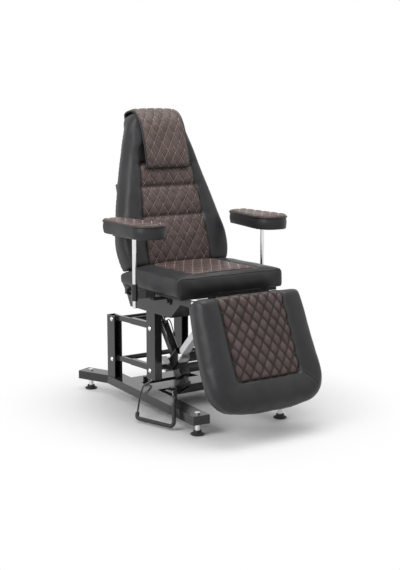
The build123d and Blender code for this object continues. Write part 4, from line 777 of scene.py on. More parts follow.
def grow_on_lines(
    name: str,
    lines: Sequence[Sequence[Vector]],
    build: Callable[[], Tree],
    finish: Finish,
    closed: bool = False,
    **values,
) -> Piece:
    """A piece that a node tree grows along lines.

    Args:
        name: the piece's name.
        lines: the lines, each a row of points.
        build: the function that builds the tree.
        finish: its finish.
        closed: whether each line closes on itself.
        values: the tree's inputs, with underscores for spaces.

    Returns:
        The piece as a plain mesh.
    """
    data = bpy.data.curves.new(name + "_guide", "CURVE")
    data.dimensions = "3D"
    for line in lines:
        spline = data.splines.new("POLY")
        spline.points.add(len(line) - 1)
        for slot, point in zip(spline.points, line):
            slot.co = (*point, 1)
        spline.use_cyclic_u = closed
    guide = new_object(name + "_guide", data)
    inputs = {key.replace("_", " "): value for key, value in values.items()}
    inputs["Material"] = finish.material
    mesh = run_tree(guide, Trees.get(build), inputs)
    bpy.data.objects.remove(guide)
    return new_object(name, mesh)


def ride(piece: Piece, body: str) -> Piece:
    """Puts a piece on its body and reports it.

    Args:
        piece: the piece.
        body: the body's name.

    Returns:
        The piece.
    """
    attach(piece, body)
    LOG.info("%s on %s, %d faces", piece.name, body, len(getattr(piece.data, "polygons", ())))
    return piece


CUT_REACH = 1e-6  # how close to a cut a point counts as on it
JOIN_REACH = 2e-5  # points of a panel this close are one
SEAM_STEP = 0.004  # the step at which a seam is laid on its panel


def inside_by(outline: Sequence[Pair], p: float, q: float) -> float:
    """How far a point lies inside a convex outline, negative outside it.

    Args:
        outline: its corners, anticlockwise.
        p: the point's first place.
        q: the point's second place.

    Returns:
        The distance to the nearest side.
    """
    least = math.inf
    for (p0, q0), (p1, q1) in zip(outline, list(outline[1:]) + [outline[0]]):
        run = math.hypot(p1 - p0, q1 - q0)
        least = min(least, ((p1 - p0) * (q - q0) - (q1 - q0) * (p - p0)) / run)
    return least


def square_outline(half: float, low: float, high: float) -> list[Pair]:
    """The outline of a panel with square corners."""
    return [(-half, low), (half, low), (half, high), (-half, high)]


@dataclass
class Quilt:
    """A quilted panel: a flat outline, a map from it to the bed it lies on, and its diamonds."""

    name: str
    outline: list[Pair]
    surface: Callable[[float, float], Placed]
    wide: float
    high: float
    puff: float
    thick: float
    power: float = 0.5
    border: float = 0.012
    steps: int = 8
    shift: Pair = (0.0, 0.0)
    thread: float = 0.0017
    stitch_rise: float = 0.0006
    seam_margin: float = 0.004
    finish: Finish = Finish.brown_leather
    thread_finish: Finish = Finish.pale_thread

    def lattice(self, p: float, q: float) -> Pair:
        """The place of a flat point between two families of seams, at whole numbers."""
        u, v = (p - self.shift[0]) / self.wide, (q - self.shift[1]) / self.high
        return u + v, u - v

    def flat_mesh(self) -> bmesh.types.BMesh:
        """A lattice along the diamonds' own directions, cut to the outline.

        Returns:
            The working mesh.
        """
        ps, qs = zip(*self.outline)
        corners = [self.lattice(p, q) for p in (min(ps), max(ps)) for q in (min(qs), max(qs))]
        (a0, a1), (b0, b1) = (
            (math.floor(min(ends)), math.ceil(max(ends))) for ends in zip(*corners)
        )
        work = bmesh.new()
        rows = []
        for i in range((a1 - a0) * self.steps + 1):
            row = []
            for j in range((b1 - b0) * self.steps + 1):
                a, b = a0 + i / self.steps, b0 + j / self.steps
                p = (a + b) / 2 * self.wide + self.shift[0]
                q = (a - b) / 2 * self.high + self.shift[1]
                row.append(work.verts.new((p, q, 0)))
            rows.append(row)
        for one, two in zip(rows, rows[1:]):
            for quad in zip(one, one[1:], two[1:], two):
                nearest = max(inside_by(self.outline, v.co.x, v.co.y) for v in quad)
                if nearest > -self.wide / self.steps:
                    work.faces.new(quad)
        loose = [v for v in work.verts if not v.link_faces]
        bmesh.ops.delete(work, geom=loose, context="VERTS")
        for (p0, q0), (p1, q1) in zip(self.outline, self.outline[1:] + self.outline[:1]):
            bmesh.ops.bisect_plane(
                work, geom=work.verts[:] + work.edges[:] + work.faces[:], dist=CUT_REACH,
                plane_co=(p0, q0, 0), plane_no=(q1 - q0, p0 - p1, 0), clear_outer=True,
            )
        bmesh.ops.remove_doubles(work, verts=work.verts, dist=JOIN_REACH)
        return work

    def closed_mesh(self) -> Mesh:
        """The flat lattice laid on its bed, with a back and sides.

        Returns:
            The closed mesh, with each point's place in the lattice.
        """
        work = self.flat_mesh()
        lattice = work.verts.layers.float_vector.new("lattice")
        lift = work.verts.layers.float_vector.new("lift")
        front = list(work.verts)
        faces = list(work.faces)
        rim = [edge for edge in work.edges if edge.is_boundary]
        twin = {}
        for vert in front:
            p, q = vert.co.x, vert.co.y
            place, normal = self.surface(p, q)
            vert[lattice] = (*self.lattice(p, q), inside_by(self.outline, p, q))
            vert[lift] = normal
            twin[vert] = work.verts.new(place - normal * self.thick)
            vert.co = place
        for face in faces:
            work.faces.new([twin[v] for v in reversed(face.verts)])
        for edge in rim:
            one, two = edge.verts
            work.faces.new((one, two, twin[two], twin[one]))
        bmesh.ops.recalc_face_normals(work, faces=work.faces)
        return mesh_of(self.name, work)

    def build(self) -> Piece:
        """The panel as a closed piece with its diamonds lifted.

        Returns:
            The panel.
        """
        mesh = self.closed_mesh()
        flat = new_object(self.name + "_flat", mesh)
        values = {"Puff Height": self.puff, "Crease Power": self.power,
                  "Border Width": self.border, "Material": self.finish.material}
        made = run_tree(flat, Trees.get(quilting_tree), values)
        bpy.data.objects.remove(flat)
        bpy.data.meshes.remove(mesh)
        return new_object(self.name, made)

    def seam_lines(self) -> list[list[Vector]]:
        """The lines of both families of seams on the surface.

        Returns:
            Rows of points, one for each stretch of a seam.
        """
        qs = [q for _, q in self.outline]
        low, high = min(qs), max(qs)
        reach = int(max(abs(k) for p, q in self.outline for k in self.lattice(p, q))) + 1
        rows = spread(low, high, int((high - low) / SEAM_STEP))
        lines = []
        for family in (1, -1):
            for k in range(-reach, reach + 1):
                line: list[Vector] = []
                for q in rows:
                    across = k - family * (q - self.shift[1]) / self.high
                    p = self.shift[0] + across * self.wide
                    if inside_by(self.outline, p, q) > self.seam_margin:
                        place, normal = self.surface(p, q)
                        line.append(place + normal * self.stitch_rise)
                        continue
                    lines.append(line)
                    line = []
                lines.append(line)
        return [line for line in lines if len(line) > 2]

    def dress(self, node: str, body: str, fill: float) -> None:
        """Builds the panel and its stitching, in place of its construction solid.

        Args:
            node: the solid.
            body: the body that both ride on.
            fill: how much of the panel is padding; not used.
        """
        panel = self.build()
        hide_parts(node)
        ride(panel, body)
        stitches = grow_on_lines(self.name + "_stitching", self.seam_lines(), stitching_tree,
                                 self.thread_finish, Thread_Width=self.thread)
        ride(stitches, body)


CLOTH_STEPS = 20  # frames for which a cover is blown up
CLOTH_RULES = {
    "quality": 4,
    "mass": 0.3,
    "tension_stiffness": 25,
    "compression_stiffness": 25,
    "bending_stiffness": 1.0,
    "use_pressure": True,
    "uniform_pressure_force": 4.0,
}
SWELL_EVENING = 14  # how often the swelling is evened out
HELD_SHARE = 0.04  # how far points that are held take part in the rounding


@dataclass
class Cushion:
    """An upholstered cushion: its solid, rounded, blown up under its cover and sewn."""

    node: str
    name: str
    held: Callable[[Vector], bool]
    voxel: float
    rounding: int
    cap: float
    fill: float = 0.75
    seams: list[list[Vector]] = field(default_factory=list)
    seam_depth: float = 0.0024
    seam_width: float = 0.0035
    wave: float = 0.0008
    shape: Callable[[np.ndarray], np.ndarray] | None = None
    share: Callable[[np.ndarray], np.ndarray] | None = None

    def copy_of_node(self) -> Piece:
        """A merged copy of the construction solid.

        Returns:
            The copy as a new object.
        """
        work = bmesh.new()
        work.from_mesh(frame["nodes"][self.node].data)
        bmesh.ops.remove_doubles(work, verts=work.verts, dist=MERGE)
        bmesh.ops.recalc_face_normals(work, faces=work.faces)
        return new_object(self.name, mesh_of(self.name, work))

    def round_off(self, mesh: Mesh) -> None:
        """Rounds the edges, least where the cover is held.

        Args:
            mesh: the cushion's mesh.
        """
        points = coordinates(mesh)
        weight = np.array([HELD_SHARE if self.held(Vector(p)) else 1.0 for p in points])
        if self.share:
            weight = weight * self.share(points)
        set_coordinates(mesh, smooth_points(mesh, points, self.rounding, weight))

    def blow_up(self, piece: Piece) -> None:
        """Runs the cover as cloth under pressure, and keeps each point within the cap.

        Args:
            piece: the cushion.
        """
        start = coordinates(piece.data)
        group = piece.vertex_groups.new(name="held")
        fixed = [i for i, p in enumerate(start) if self.held(Vector(p))]
        group.add(fixed, 1.0, "REPLACE")
        cloth = piece.modifiers.new("Cloth", "CLOTH")
        for rule, value in CLOTH_RULES.items():
            setattr(cloth.settings, rule, value)
        cloth.settings.effector_weights.gravity = 0
        cloth.settings.vertex_group_mass = "held"
        cloth.point_cache.frame_start = 1
        cloth.point_cache.frame_end = CLOTH_STEPS
        for step in range(1, CLOTH_STEPS + 1):
            bpy.context.scene.frame_set(step)
        made = evaluated_mesh(piece)
        moved = coordinates(made) - start
        bpy.data.meshes.remove(made)
        piece.modifiers.clear()
        piece.vertex_groups.clear()
        bpy.context.scene.frame_set(1)
        far = np.maximum(np.linalg.norm(moved, axis=1), 1e-9)
        scale = self.cap * np.tanh(far / self.cap) / far
        everywhere = np.ones(len(start))
        soft = smooth_points(piece.data, moved * scale[:, None], SWELL_EVENING, everywhere)
        set_coordinates(piece.data, start + soft)

    def sew(self, mesh: Mesh) -> None:
        """Draws the cover in along its seams and leaves it a little uneven.

        Args:
            mesh: the cushion's mesh.
        """
        points, normals = coordinates(mesh), per_vertex(mesh, "normal")
        depth = np.zeros(len(points))
        for line in self.seams:
            near = np.exp(-((away_from(points, line) / self.seam_width) ** 2))
            depth = np.maximum(depth, self.seam_depth * near)
        x, y, z = points.T
        swell = (np.sin(31 * x + 17 * z + 2.1) * np.sin(23 * y - 29 * z)
                 + 0.5 * np.sin(67 * x - 41 * y + 53 * z))
        set_coordinates(mesh, points + normals * (self.wave * swell - depth)[:, None])

    def build(self, body: str) -> Piece:
        """The finished cushion on its body, in place of its construction solid.

        Args:
            body: the body that it rides on.

        Returns:
            The cushion.
        """
        piece = self.copy_of_node()
        remesh = piece.modifiers.new("Remesh", "REMESH")
        remesh.mode = "VOXEL"
        remesh.voxel_size = self.voxel
        bake_modifiers(piece)
        self.round_off(piece.data)
        self.blow_up(piece)
        finer = piece.modifiers.new("Finer", "SUBSURF")
        finer.levels = 1
        finer.render_levels = 1
        bake_modifiers(piece)
        mesh = piece.data
        if self.shape:
            set_coordinates(mesh, self.shape(coordinates(mesh)))
        self.sew(mesh)
        mesh.polygons.foreach_set("use_smooth", [True] * len(mesh.polygons))
        mesh.update()
        mesh.materials.clear()
        mesh.materials.append(Finish.black_leather.material)
        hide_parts(self.node)
        return ride(piece, body)


def along_surface(piece: Piece, line: Sequence[Vector], rise: float) -> list[Vector]:
    """Lays a line on a piece.

    Args:
        piece: the finished piece.
        line: points near its surface.
        rise: how far the line stands above the surface.

    Returns:
        The line's points on the surface.
    """
    laid = []
    for point in line:
        found, place, normal, _ = piece.closest_point_on_mesh(point)
        laid.append(place + normal * rise if found else point)
    return laid


def part_of(values: np.ndarray, start: float, length: float) -> np.ndarray:
    """The part of a run that each value has come, from 0 to 1."""
    return np.clip((values - start) / length, 0, 1)


def drawn_in(edge: float, depth: float, width: float) -> float:
    """How far a cover is drawn in at a distance from its edge."""
    return depth * math.exp(-max(edge, 0.0) / width)


@dataclass
class Seat:
    """The seat cushion, its quilted panel and the welt along its front edge."""

    half: float = 0.286
    front: float = 0.062
    rear: float = 0.546
    bottom: float = 0.591
    height: float = 0.092
    crown: float = 0.009
    panel_half: float = 0.173
    panel_front: float = 0.114
    panel_rear: float = 0.445
    panel_rise: float = 0.002
    draw: Pair = (0.004, 0.02)
    board_skin: float = 0.012
    bed_edge: float = 0.01
    bed_share: float = 0.6
    corner: float = 0.004
    corner_end: float = 0.008
    welt: float = 0.0019
    welt_end: float = 0.012
    welt_out: float = 0.002
    welt_lift: float = 0.0003
    bow: float = 0.003

    def top(self, x: float) -> float:
        """Height of the cushion's top."""
        return self.bottom + self.height - self.crown * (x / self.half) ** 2

    def held(self, p: Vector) -> bool:
        """Whether a point is tied to the board or under the quilted panel.

        Args:
            p: the point.

        Returns:
            True where the cover can't move.
        """
        along = self.panel_front + self.bed_edge < p.y + ORIGIN_Y < self.rear
        bed = abs(p.x) < self.panel_half - self.bed_edge and along
        rise = p.z - self.bottom
        return rise < self.board_skin or (bed and rise > self.height * self.bed_share)

    def surface(self, p: float, q: float) -> Placed:
        """The panel's bed: crowned, and drawn in at its border."""
        edge = min(self.panel_half - abs(p), q - self.panel_front)
        return at(p, q, self.top(p) + self.panel_rise - drawn_in(edge, *self.draw)), UP

    def corner_seams(self) -> list[list[Vector]]:
        """The upright seams in the front corners.

        Returns:
            Two lines, each from its lower to its upper end.
        """
        ends = self.bottom + self.corner_end, self.top(self.half) - self.corner_end
        return [
            [at(s * (self.half - self.corner), self.front + self.corner, z) for z in ends]
            for s in (-1, 1)
        ]

    def front_edge(self) -> list[Vector]:
        """A line along the front edge, bowed a little forwards.

        Returns:
            The line's points.
        """
        line = []
        for x in spread(self.welt_end - self.half, self.half - self.welt_end, 60):
            bow = self.bow * (1 - (x / self.half) ** 2)
            line.append(at(x, self.front - self.welt_out - bow, self.top(x) + self.welt_out))
        return line

    def build(self) -> None:
        """Builds and dresses the seat."""
        corners = self.corner_seams()
        cushion = Cushion("seat_cushion", "seat_cushion_cover", self.held,
                          voxel=0.006, rounding=9, cap=0.007, seams=corners)
        cover = cushion.build("carrier")
        outline = square_outline(self.panel_half, self.panel_front, self.panel_rear)
        quilt = Quilt("seat_quilting", outline, self.surface,
                      wide=0.0494, high=0.074, puff=0.0038, thick=0.008)
        quilt.dress("seat_quilted_panel", "carrier", 0.7)
        rows = [self.front_edge()] + [spread(low, high, 20) for low, high in corners]
        laid = [along_surface(cover, row, self.welt_lift) for row in rows]
        welt = grow_on_lines("seat_piping", laid, piping_tree, Finish.black_piping,
                             Radius=self.welt)
        ride(welt, "carrier")


@dataclass
class SidePath:
    """A smooth line through points of a side view, with its length and outward normals."""

    points: list[Pair]
    spans: int = 24
    reach: float = 2 * NEAR

    def __post_init__(self) -> None:
        """Samples the line."""
        pts = np.array(self.points)
        ends = np.vstack([2 * pts[0] - pts[1], pts, 2 * pts[-1] - pts[-2]])
        fine = []
        for k in range(1, len(ends) - 2):
            p0, p1, p2, p3 = ends[k - 1:k + 3]
            for t in np.linspace(0, 1, self.spans, endpoint=False):
                fine.append(0.5 * (
                    2 * p1 + (p2 - p0) * t + (2 * p0 - 5 * p1 + 4 * p2 - p3) * t * t
                    + (3 * p1 - p0 - 3 * p2 + p3) * t ** 3
                ))
        fine.append(pts[-1])
        self.fine = np.array(fine)
        steps = np.linalg.norm(np.diff(self.fine, axis=0), axis=1)
        self.along = np.concatenate([[0.0], np.cumsum(steps)])
        self.length = float(self.along[-1])

    def point(self, distance: float) -> Pair:
        """The point at a distance along the line."""
        y, z = (float(np.interp(distance, self.along, self.fine[:, k])) for k in (0, 1))
        return y, z

    def at(self, distance: float) -> tuple[Pair, Pair]:
        """The point and the outward normal at a distance along the line.

        Args:
            distance: how far along.

        Returns:
            The point, and the normal.
        """
        low, high = self.point(distance - self.reach), self.point(distance + self.reach)
        dy, dz = high[0] - low[0], high[1] - low[1]
        run = math.hypot(dy, dz)
        return self.point(distance), (-dz / run, dy / run)


@dataclass
class Backrest:
    """The shield-shaped back, its channelled panel and the flap over its top."""

    panel_top: float = 0.560
    panel_heights: Triple = (0.0, 0.241, 0.560)
    panel_halves: Triple = (0.172, 0.167, 0.130)
    seams: tuple[float, ...] = (0.0, 0.43, 0.68, 0.87, 1.0)
    seam_y: float = -0.087
    crest_y: float = -0.111
    draw: Pair = (0.006, 0.018)
    board_skin: float = 0.022
    rounded_from: float = 0.016
    bed_edge: float = 0.012
    bed_y: float = -0.05
    bed_low: float = -0.02
    bed_gap: float = 0.01
    flap_half: float = 0.118
    flap_top_half: float = 0.117
    flap_low: float = 0.463
    flap_front: float = 0.285
    flap_crown: float = 0.004
    flap_draw: Pair = (0.005, 0.006)
    flap_gap: float = 0.0085
    pucker: float = 0.0012
    pucker_width: float = 0.0145
    pucker_span: Pair = (0.10, 0.06)
    welt: float = 0.0043
    welt_sunk: float = 0.0015
    hem_seams: Pair = (0.008, 0.013)
    hem_end: float = 0.006
    hem_rise: float = 0.001
    crown_run: float = 0.05
    pocket: Pair = (0.492, 0.585)
    pocket_edge: float = 0.010
    pocket_share: float = 0.85
    pocket_y: float = -0.108
    pocket_beside: float = 0.02
    roof_from: float = 0.5
    roof_share: float = 0.66
    roof_y: float = -0.013
    shoulder: Pair = (0.022, 0.030)
    flare: float = 0.055
    flare_front: Pair = (-0.070, 0.050)
    flare_span: Pair = (0.16, 0.60)
    fold: float = 0.0045
    fold_slant: float = 0.15
    fold_width: float = 0.019
    fold_length: float = 0.032

    def panel_half(self, z: float) -> float:
        """Half width of the quilted panel at a height up the back."""
        return float(np.interp(z, self.panel_heights, self.panel_halves))

    def held(self, p: Vector) -> bool:
        """Whether a point is tied to the board or under the quilted panel.

        Args:
            p: the point.

        Returns:
            True where the cover can't move.
        """
        x, y, z = BACK.local(p)
        beside = abs(x) < self.panel_half(z) - self.bed_edge
        bed = beside and self.bed_low < z < self.panel_top - self.bed_gap and y < self.bed_y
        return y > -self.board_skin or bed

    def channel(self, z: float) -> float:
        """Local y of the channelled panel: swollen between its seams.

        Args:
            z: the height up the back.

        Returns:
            The local y there.
        """
        share = min(max(z / self.panel_top, 0.0), 1.0)
        for low, high in zip(self.seams, self.seams[1:]):
            if share <= high:
                part = (share - low) / (high - low)
                bulge = math.sqrt(max(0.0, 1 - abs(2 * part - 1) ** 2.5))
                return self.seam_y + (self.crest_y - self.seam_y) * bulge
        return self.seam_y

    def surface(self, p: float, q: float) -> Placed:
        """The channelled panel, drawn in at its sides.

        Args:
            p: the place across the panel.
            q: the place up the panel.

        Returns:
            The point on the bed, and its normal.
        """
        sink = drawn_in(self.panel_half(q) - abs(p), *self.draw)
        slope = (self.channel(q + NEAR) - self.channel(q - NEAR)) / (2 * NEAR)
        normal = BACK.turn(0, -1, slope).normalized()
        return BACK.place(p, self.channel(q) + sink, q), normal

    def flap_path(self) -> SidePath:
        """Side view of the flap, from its front hem over the top to its tail.

        Returns:
            The line in the back's own frame.
        """
        return SidePath([
            (-0.1290, self.flap_low), (-0.1330, self.flap_low + 0.030), (-0.1370, 0.540),
            (-0.1375, 0.600), (-0.1340, 0.650), (-0.1230, 0.695), (-0.1040, 0.728),
            (-0.0780, 0.7485), (-0.0460, 0.7575), (-0.0140, 0.7585), (0.0045, 0.7500),
            (0.0092, 0.730), (0.0094, 0.690), (0.0090, 0.638),
        ])

    def shape(self, points: np.ndarray) -> np.ndarray:
        """Rounds the top under the flap, flares the sides and folds the bolsters at the seams.

        Args:
            points: rows of the cushion's points.

        Returns:
            The rows in their new places.
        """
        x, y, z = BACK.local_rows(points).T
        half = np.interp(z, self.panel_heights, self.panel_halves)
        low, high = self.pocket
        pocket = part_of(z, low, self.pocket_edge) * part_of(z, high, -self.pocket_edge)
        pocket = pocket * (np.abs(x) < half + self.pocket_beside)
        pocket = pocket * (y > self.pocket_y) * (y < self.bed_y)
        y = y - self.pocket_share * (y - self.pocket_y) * pocket
        path = self.flap_path().fine
        front = path[: int(len(path) * self.roof_share)]
        limit = np.interp(z, front[:, 1], front[:, 0]) + self.flap_gap
        width, drop = self.shoulder
        beside = part_of(np.abs(x), self.flap_half, width)
        limit = np.minimum(limit, self.roof_y) - drop * beside
        y = np.where(z > self.roof_from, np.maximum(y, limit), y)
        rise = part_of(z, *self.flare_span)
        x = x * (1 + self.flare * part_of(y, *self.flare_front) * np.sin(math.pi * rise))
        out = np.clip((np.abs(x) - half) / self.fold_length, 0, None)
        for share in self.seams[1:-1]:
            slant = self.fold_slant * (np.abs(x) - half)
            up = (z - share * self.panel_top + slant) / self.fold_width
            y = y + self.fold * np.exp(-(up ** 2) - out ** 2) * (y < self.bed_y)
        return BACK.place_rows(np.stack([x, y, z], axis=1))

    def build_flap(self) -> None:
        """The quilted headrest flap with its piping and hem stitches."""
        path = self.flap_path()
        length = path.length

        def half(q: float) -> float:
            """Half width of the flap at a distance along it."""
            return float(np.interp(q, (0.0, self.flap_front), (self.flap_half, self.flap_top_half)))

        def surface(p: float, q: float) -> Placed:
            """The flap's outside, crowned, rounded down at its edges and lightly puckered.

            Args:
                p: the place across the flap.
                q: the distance along the flap.

            Returns:
                The point on the flap, and its normal.
            """
            (y, z), (ny, nz) = path.at(q)
            crown = self.flap_crown * (1 - (p / half(q)) ** 2) * min(1.0, q / self.crown_run)
            drop = drawn_in(min(half(q) - abs(p), q, length - q), *self.flap_draw) - crown
            middle, width = self.pucker_span
            fade = math.exp(-(((q - middle) / width) ** 2))
            drop += self.pucker * math.sin(p / self.pucker_width) * fade
            normal = BACK.turn(0, ny, nz)
            return BACK.place(p, y, z) - normal * drop, normal

        low, high = half(0), self.flap_top_half
        outline = [(-low, 0.0), (low, 0.0), (high, self.flap_front), (high, length),
                   (-high, length), (-high, self.flap_front)]
        quilt = Quilt("headrest_flap", outline, surface,
                      wide=0.0465, high=0.075, puff=0.0036, thick=0.007, border=0.01)
        quilt.dress("headrest_pad", "back", 0.6)
        edges = []
        for side in (-1, 1):
            line = []
            for q in spread(0.0, length, 90):
                place, normal = surface(side * half(q), q)
                line.append(place - normal * self.welt_sunk)
            edges.append(line)
        hem = [surface(p, 0.0)[0] for p in spread(-low, low, 40)]
        rim = grow_on_lines("headrest_flap_piping", edges + [hem], piping_tree,
                            Finish.black_piping, Radius=self.welt)
        ride(rim, "back")
        rows = []
        for q in self.hem_seams:
            reach = half(q) - self.hem_end
            placed = [surface(p, q) for p in spread(-reach, reach, 60)]
            rows.append([place + normal * self.hem_rise for place, normal in placed])
        hem_stitches = grow_on_lines("headrest_hem_stitching", rows, stitching_tree,
                                     Finish.dark_thread)
        ride(hem_stitches, "back")

    def build(self) -> None:
        """Builds and dresses the back."""
        cushion = Cushion(
            "back_cushion", "back_cushion_cover", self.held,
            voxel=0.006, rounding=55, cap=0.008, shape=self.shape,
            share=lambda points: BACK.share_before(points, self.rounded_from),
        )
        cushion.build("back")
        top = self.panel_top * self.seams[3] + 0.004
        heights, halves = self.panel_heights, self.panel_halves
        right = [(halves[0], heights[0]), (halves[1], heights[1]), (self.panel_half(top), top)]
        left = [(-p, q) for p, q in reversed(right)]
        outline = left[-1:] + right + left[:-1]
        quilt = Quilt("back_quilting", outline, self.surface,
                      wide=0.053, high=0.072, puff=0.0040, thick=0.010)
        quilt.dress("back_quilted_panel", "back", 0.75)
        self.build_flap()


@dataclass
class LegRest:
    """The leg rest: a thick bolster round three sides of a puffy quilted panel."""

    thickness: float = 0.112
    panel_half: float = 0.171
    panel_low: float = -0.378
    panel_high: float = -0.005
    sunk: float = 0.014
    crown: float = 0.008
    draw: Pair = (0.007, 0.022)
    roll: Triple = (0.012, -0.035, 0.030)
    board_skin: float = 0.024
    rounded_from: float = 0.018
    bed_edge: float = 0.012
    bed_y: float = -0.06
    corner: Pair = (0.245, -0.452)
    corner_end: Triple = (0.262, -0.050, -0.472)

    def held(self, p: Vector) -> bool:
        """Whether a point is tied to the board or under the quilted panel.

        Args:
            p: the point.

        Returns:
            True where the cover can't move.
        """
        x, y, z = LEG.local(p)
        beside = abs(x) < self.panel_half - self.bed_edge
        bed = beside and z > self.panel_low + self.bed_edge and y < self.bed_y
        return y > -self.board_skin or bed

    def surface(self, p: float, q: float) -> Placed:
        """The panel's bed: slightly crowned, drawn in at three sides, rolled over at the top.

        Args:
            p: the place across the panel.
            q: the place up the panel.

        Returns:
            The point on the bed, and its normal.
        """
        sink = drawn_in(min(self.panel_half - abs(p), q - self.panel_low), *self.draw)
        depth, start, length = self.roll
        roll = depth * max(0.0, (q - start) / length) ** 2
        crown = self.crown * (1 - (p / self.panel_half) ** 2)
        y = -self.thickness + self.sunk - crown + sink + roll
        return LEG.place(p, y, q), LEG.turn(0, -1, 0)

    def corner_seam(self, side: int) -> list[Vector]:
        """The mitred seam from a corner of the panel round the bolster.

        Args:
            side: 1 at the sitter's left, -1 at the right.

        Returns:
            The seam's points.
        """
        (x, z), (end_x, end_y, end_z) = self.corner, self.corner_end
        return [LEG.place(side * self.panel_half, -self.thickness, self.panel_low),
                LEG.place(side * x, -self.thickness, z), LEG.place(side * end_x, end_y, end_z)]

    def build(self) -> None:
        """Builds and dresses the leg rest."""
        cushion = Cushion(
            "leg_cushion", "leg_cushion_cover", self.held,
            voxel=0.006, rounding=34, cap=0.008,
            seams=[self.corner_seam(side) for side in (-1, 1)],
            share=lambda points: LEG.share_before(points, self.rounded_from),
        )
        cushion.build("leg_rest")
        outline = square_outline(self.panel_half, self.panel_low, self.panel_high)
        # the panel's finish paints deeper shade into the quilting's creases
        quilt = Quilt("leg_quilting", outline, self.surface,
                      wide=0.051, high=0.072, puff=0.0095, thick=0.012, power=0.6,
                      shift=(0.0, self.panel_high), thread=0.0010, stitch_rise=0.0,
                      finish=Finish.deep_quilting, thread_finish=Finish.dark_thread)
        quilt.dress("leg_quilted_panel", "leg_rest", 0.85)


class Side(Enum):
    """The sitter's two sides, with the sign of their x."""

    right = -1
    left = 1


@dataclass
class Armrest:
    """One arm pad with its quilted top and the welt round it."""

    side: Side
    post_x: float = 0.350
    post_y: float = 0.306
    plate: float = 0.829
    thick: float = 0.006
    height: float = 0.060
    rear: float = 0.202
    front: float = 0.162
    rear_half: float = 0.050
    front_half: float = 0.080
    corner: float = 0.012
    toe: float = 4.0
    round_steps: int = 24
    corner_steps: int = 4
    shift: float = 0.014
    crown: float = 0.009
    crown_run: float = 0.035
    rolled: float = 0.005
    rolled_run: float = 0.003
    rolled_from: float = 0.004
    plate_skin: float = 0.006
    bed_skin: float = 0.014
    panel_gap: float = 0.0005
    welt: float = 0.0016
    welt_drop: float = 0.006

    @property
    def top(self) -> float:
        """Height of the pad's upper edge."""
        return self.plate + self.thick + self.height

    def place(self, p: float, q: float, z: float) -> Vector:
        """A point of the pad's own plan, with p towards the chair's middle.

        Args:
            p: the place across the pad.
            q: the place along the pad.
            z: the height.

        Returns:
            The point.
        """
        turn = math.radians(self.toe)
        x = p * math.cos(turn) - q * math.sin(turn) - self.post_x
        y = p * math.sin(turn) + q * math.cos(turn) + self.post_y
        return at(-x * self.side.value, y, z)

    def outline(self, inset: float) -> list[Pair]:
        """Plan of the pad: square behind, widening forwards and round in front.

        Args:
            inset: how far the plan lies inside the pad's edge.

        Returns:
            Its corners, anticlockwise.
        """
        narrow, wide = self.rear_half - inset, self.front_half - inset
        rear, front = self.rear - inset, self.front - inset
        points = []
        for angle in spread(math.pi, 2 * math.pi, self.round_steps):
            x = self.shift + wide * math.cos(angle)
            points.append((x, wide - front + wide * math.sin(angle)))
        for sign in (1, -1):
            for angle in spread(0.0, math.pi / 2, self.corner_steps)[::sign]:
                x = narrow - self.corner + self.corner * math.cos(angle)
                y = rear - self.corner + self.corner * math.sin(angle)
                points.append((self.shift + sign * x, y))
        return points

    def surface(self, p: float, q: float) -> Placed:
        """The crowned top, rolled down at its edge.

        Args:
            p: the place across the panel.
            q: the place up the panel.

        Returns:
            The point on the top, and its normal.
        """
        edge = max(0.0, inside_by(self.rim, p, q))
        rolled = self.rolled * (1 - math.exp(-edge / self.rolled_run)) - self.rolled_from
        crown = self.crown * (1 - math.exp(-edge / self.crown_run))
        return self.place(p, q, self.top + rolled + crown), UP

    def held(self, p: Vector) -> bool:
        """Whether a point is tied to the plate or under the quilted top."""
        low, high = self.plate + self.thick + self.plate_skin, self.top - self.bed_skin
        return p.z < low or p.z > high

    def build(self) -> None:
        """Builds and dresses the armrest's pad."""
        name = self.side.name
        body = name + "_pad"
        cushion = Cushion(name + "_armrest_pad", name + "_arm_pad_cover", self.held,
                          voxel=0.005, rounding=4, cap=0.004, fill=0.8)
        cushion.build(body)
        self.rim = self.outline(self.panel_gap)
        quilt = Quilt(name + "_arm_quilting", self.rim, self.surface,
                      wide=0.046, high=0.066, puff=0.003, thick=0.006, border=0.008)
        quilt.dress(name + "_armrest_quilted_panel", body, 0.7)
        line = [self.place(p, q, self.top - self.welt_drop) for p, q in self.outline(0.0)]
        welt = grow_on_lines(name + "_arm_piping", [line], piping_tree, Finish.black_piping,
                             closed=True, Radius=self.welt)
        ride(welt, body)


@dataclass
class MotorLead:
    """The short lead that hangs out of the control box and ends in its connector."""

    length: float = 0.238
    diameter: float = 0.005
    route: tuple[Triple, ...] = (
        (-0.150, 0.372, 0.5115),
        (-0.150, 0.372, 0.486),
        (-0.152, 0.374, 0.452),
        (-0.162, 0.356, 0.426),
        (-0.172, 0.330, 0.428),
        (-0.178, 0.304, 0.452),
        (-0.184, 0.278, 0.450),
        (-0.188, 0.256, 0.428),
        (-0.190, 0.241, 0.402),
    )

    def build(self) -> None:
        data = bpy.data.curves.new("motor_lead_sheath", "CURVE")
        data.dimensions = "3D"
        data.bevel_depth = self.diameter / 2
        data.bevel_resolution = 4
        data.use_fill_caps = True
        data.resolution_u = 12
        spline = data.splines.new("NURBS")
        spline.points.add(len(self.route) - 1)
        for slot, point in zip(spline.points, self.route):
            slot.co = (*at(*point), 1)
        spline.order_u = 3
        spline.use_endpoint_u = True
        data.materials.append(Finish.lead_sheath.material)
        lead = new_object("motor_lead_sheath", data)
        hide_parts("motor_lead")
        ride(lead, "carrier")
        tuple(at(*self.route[0]))


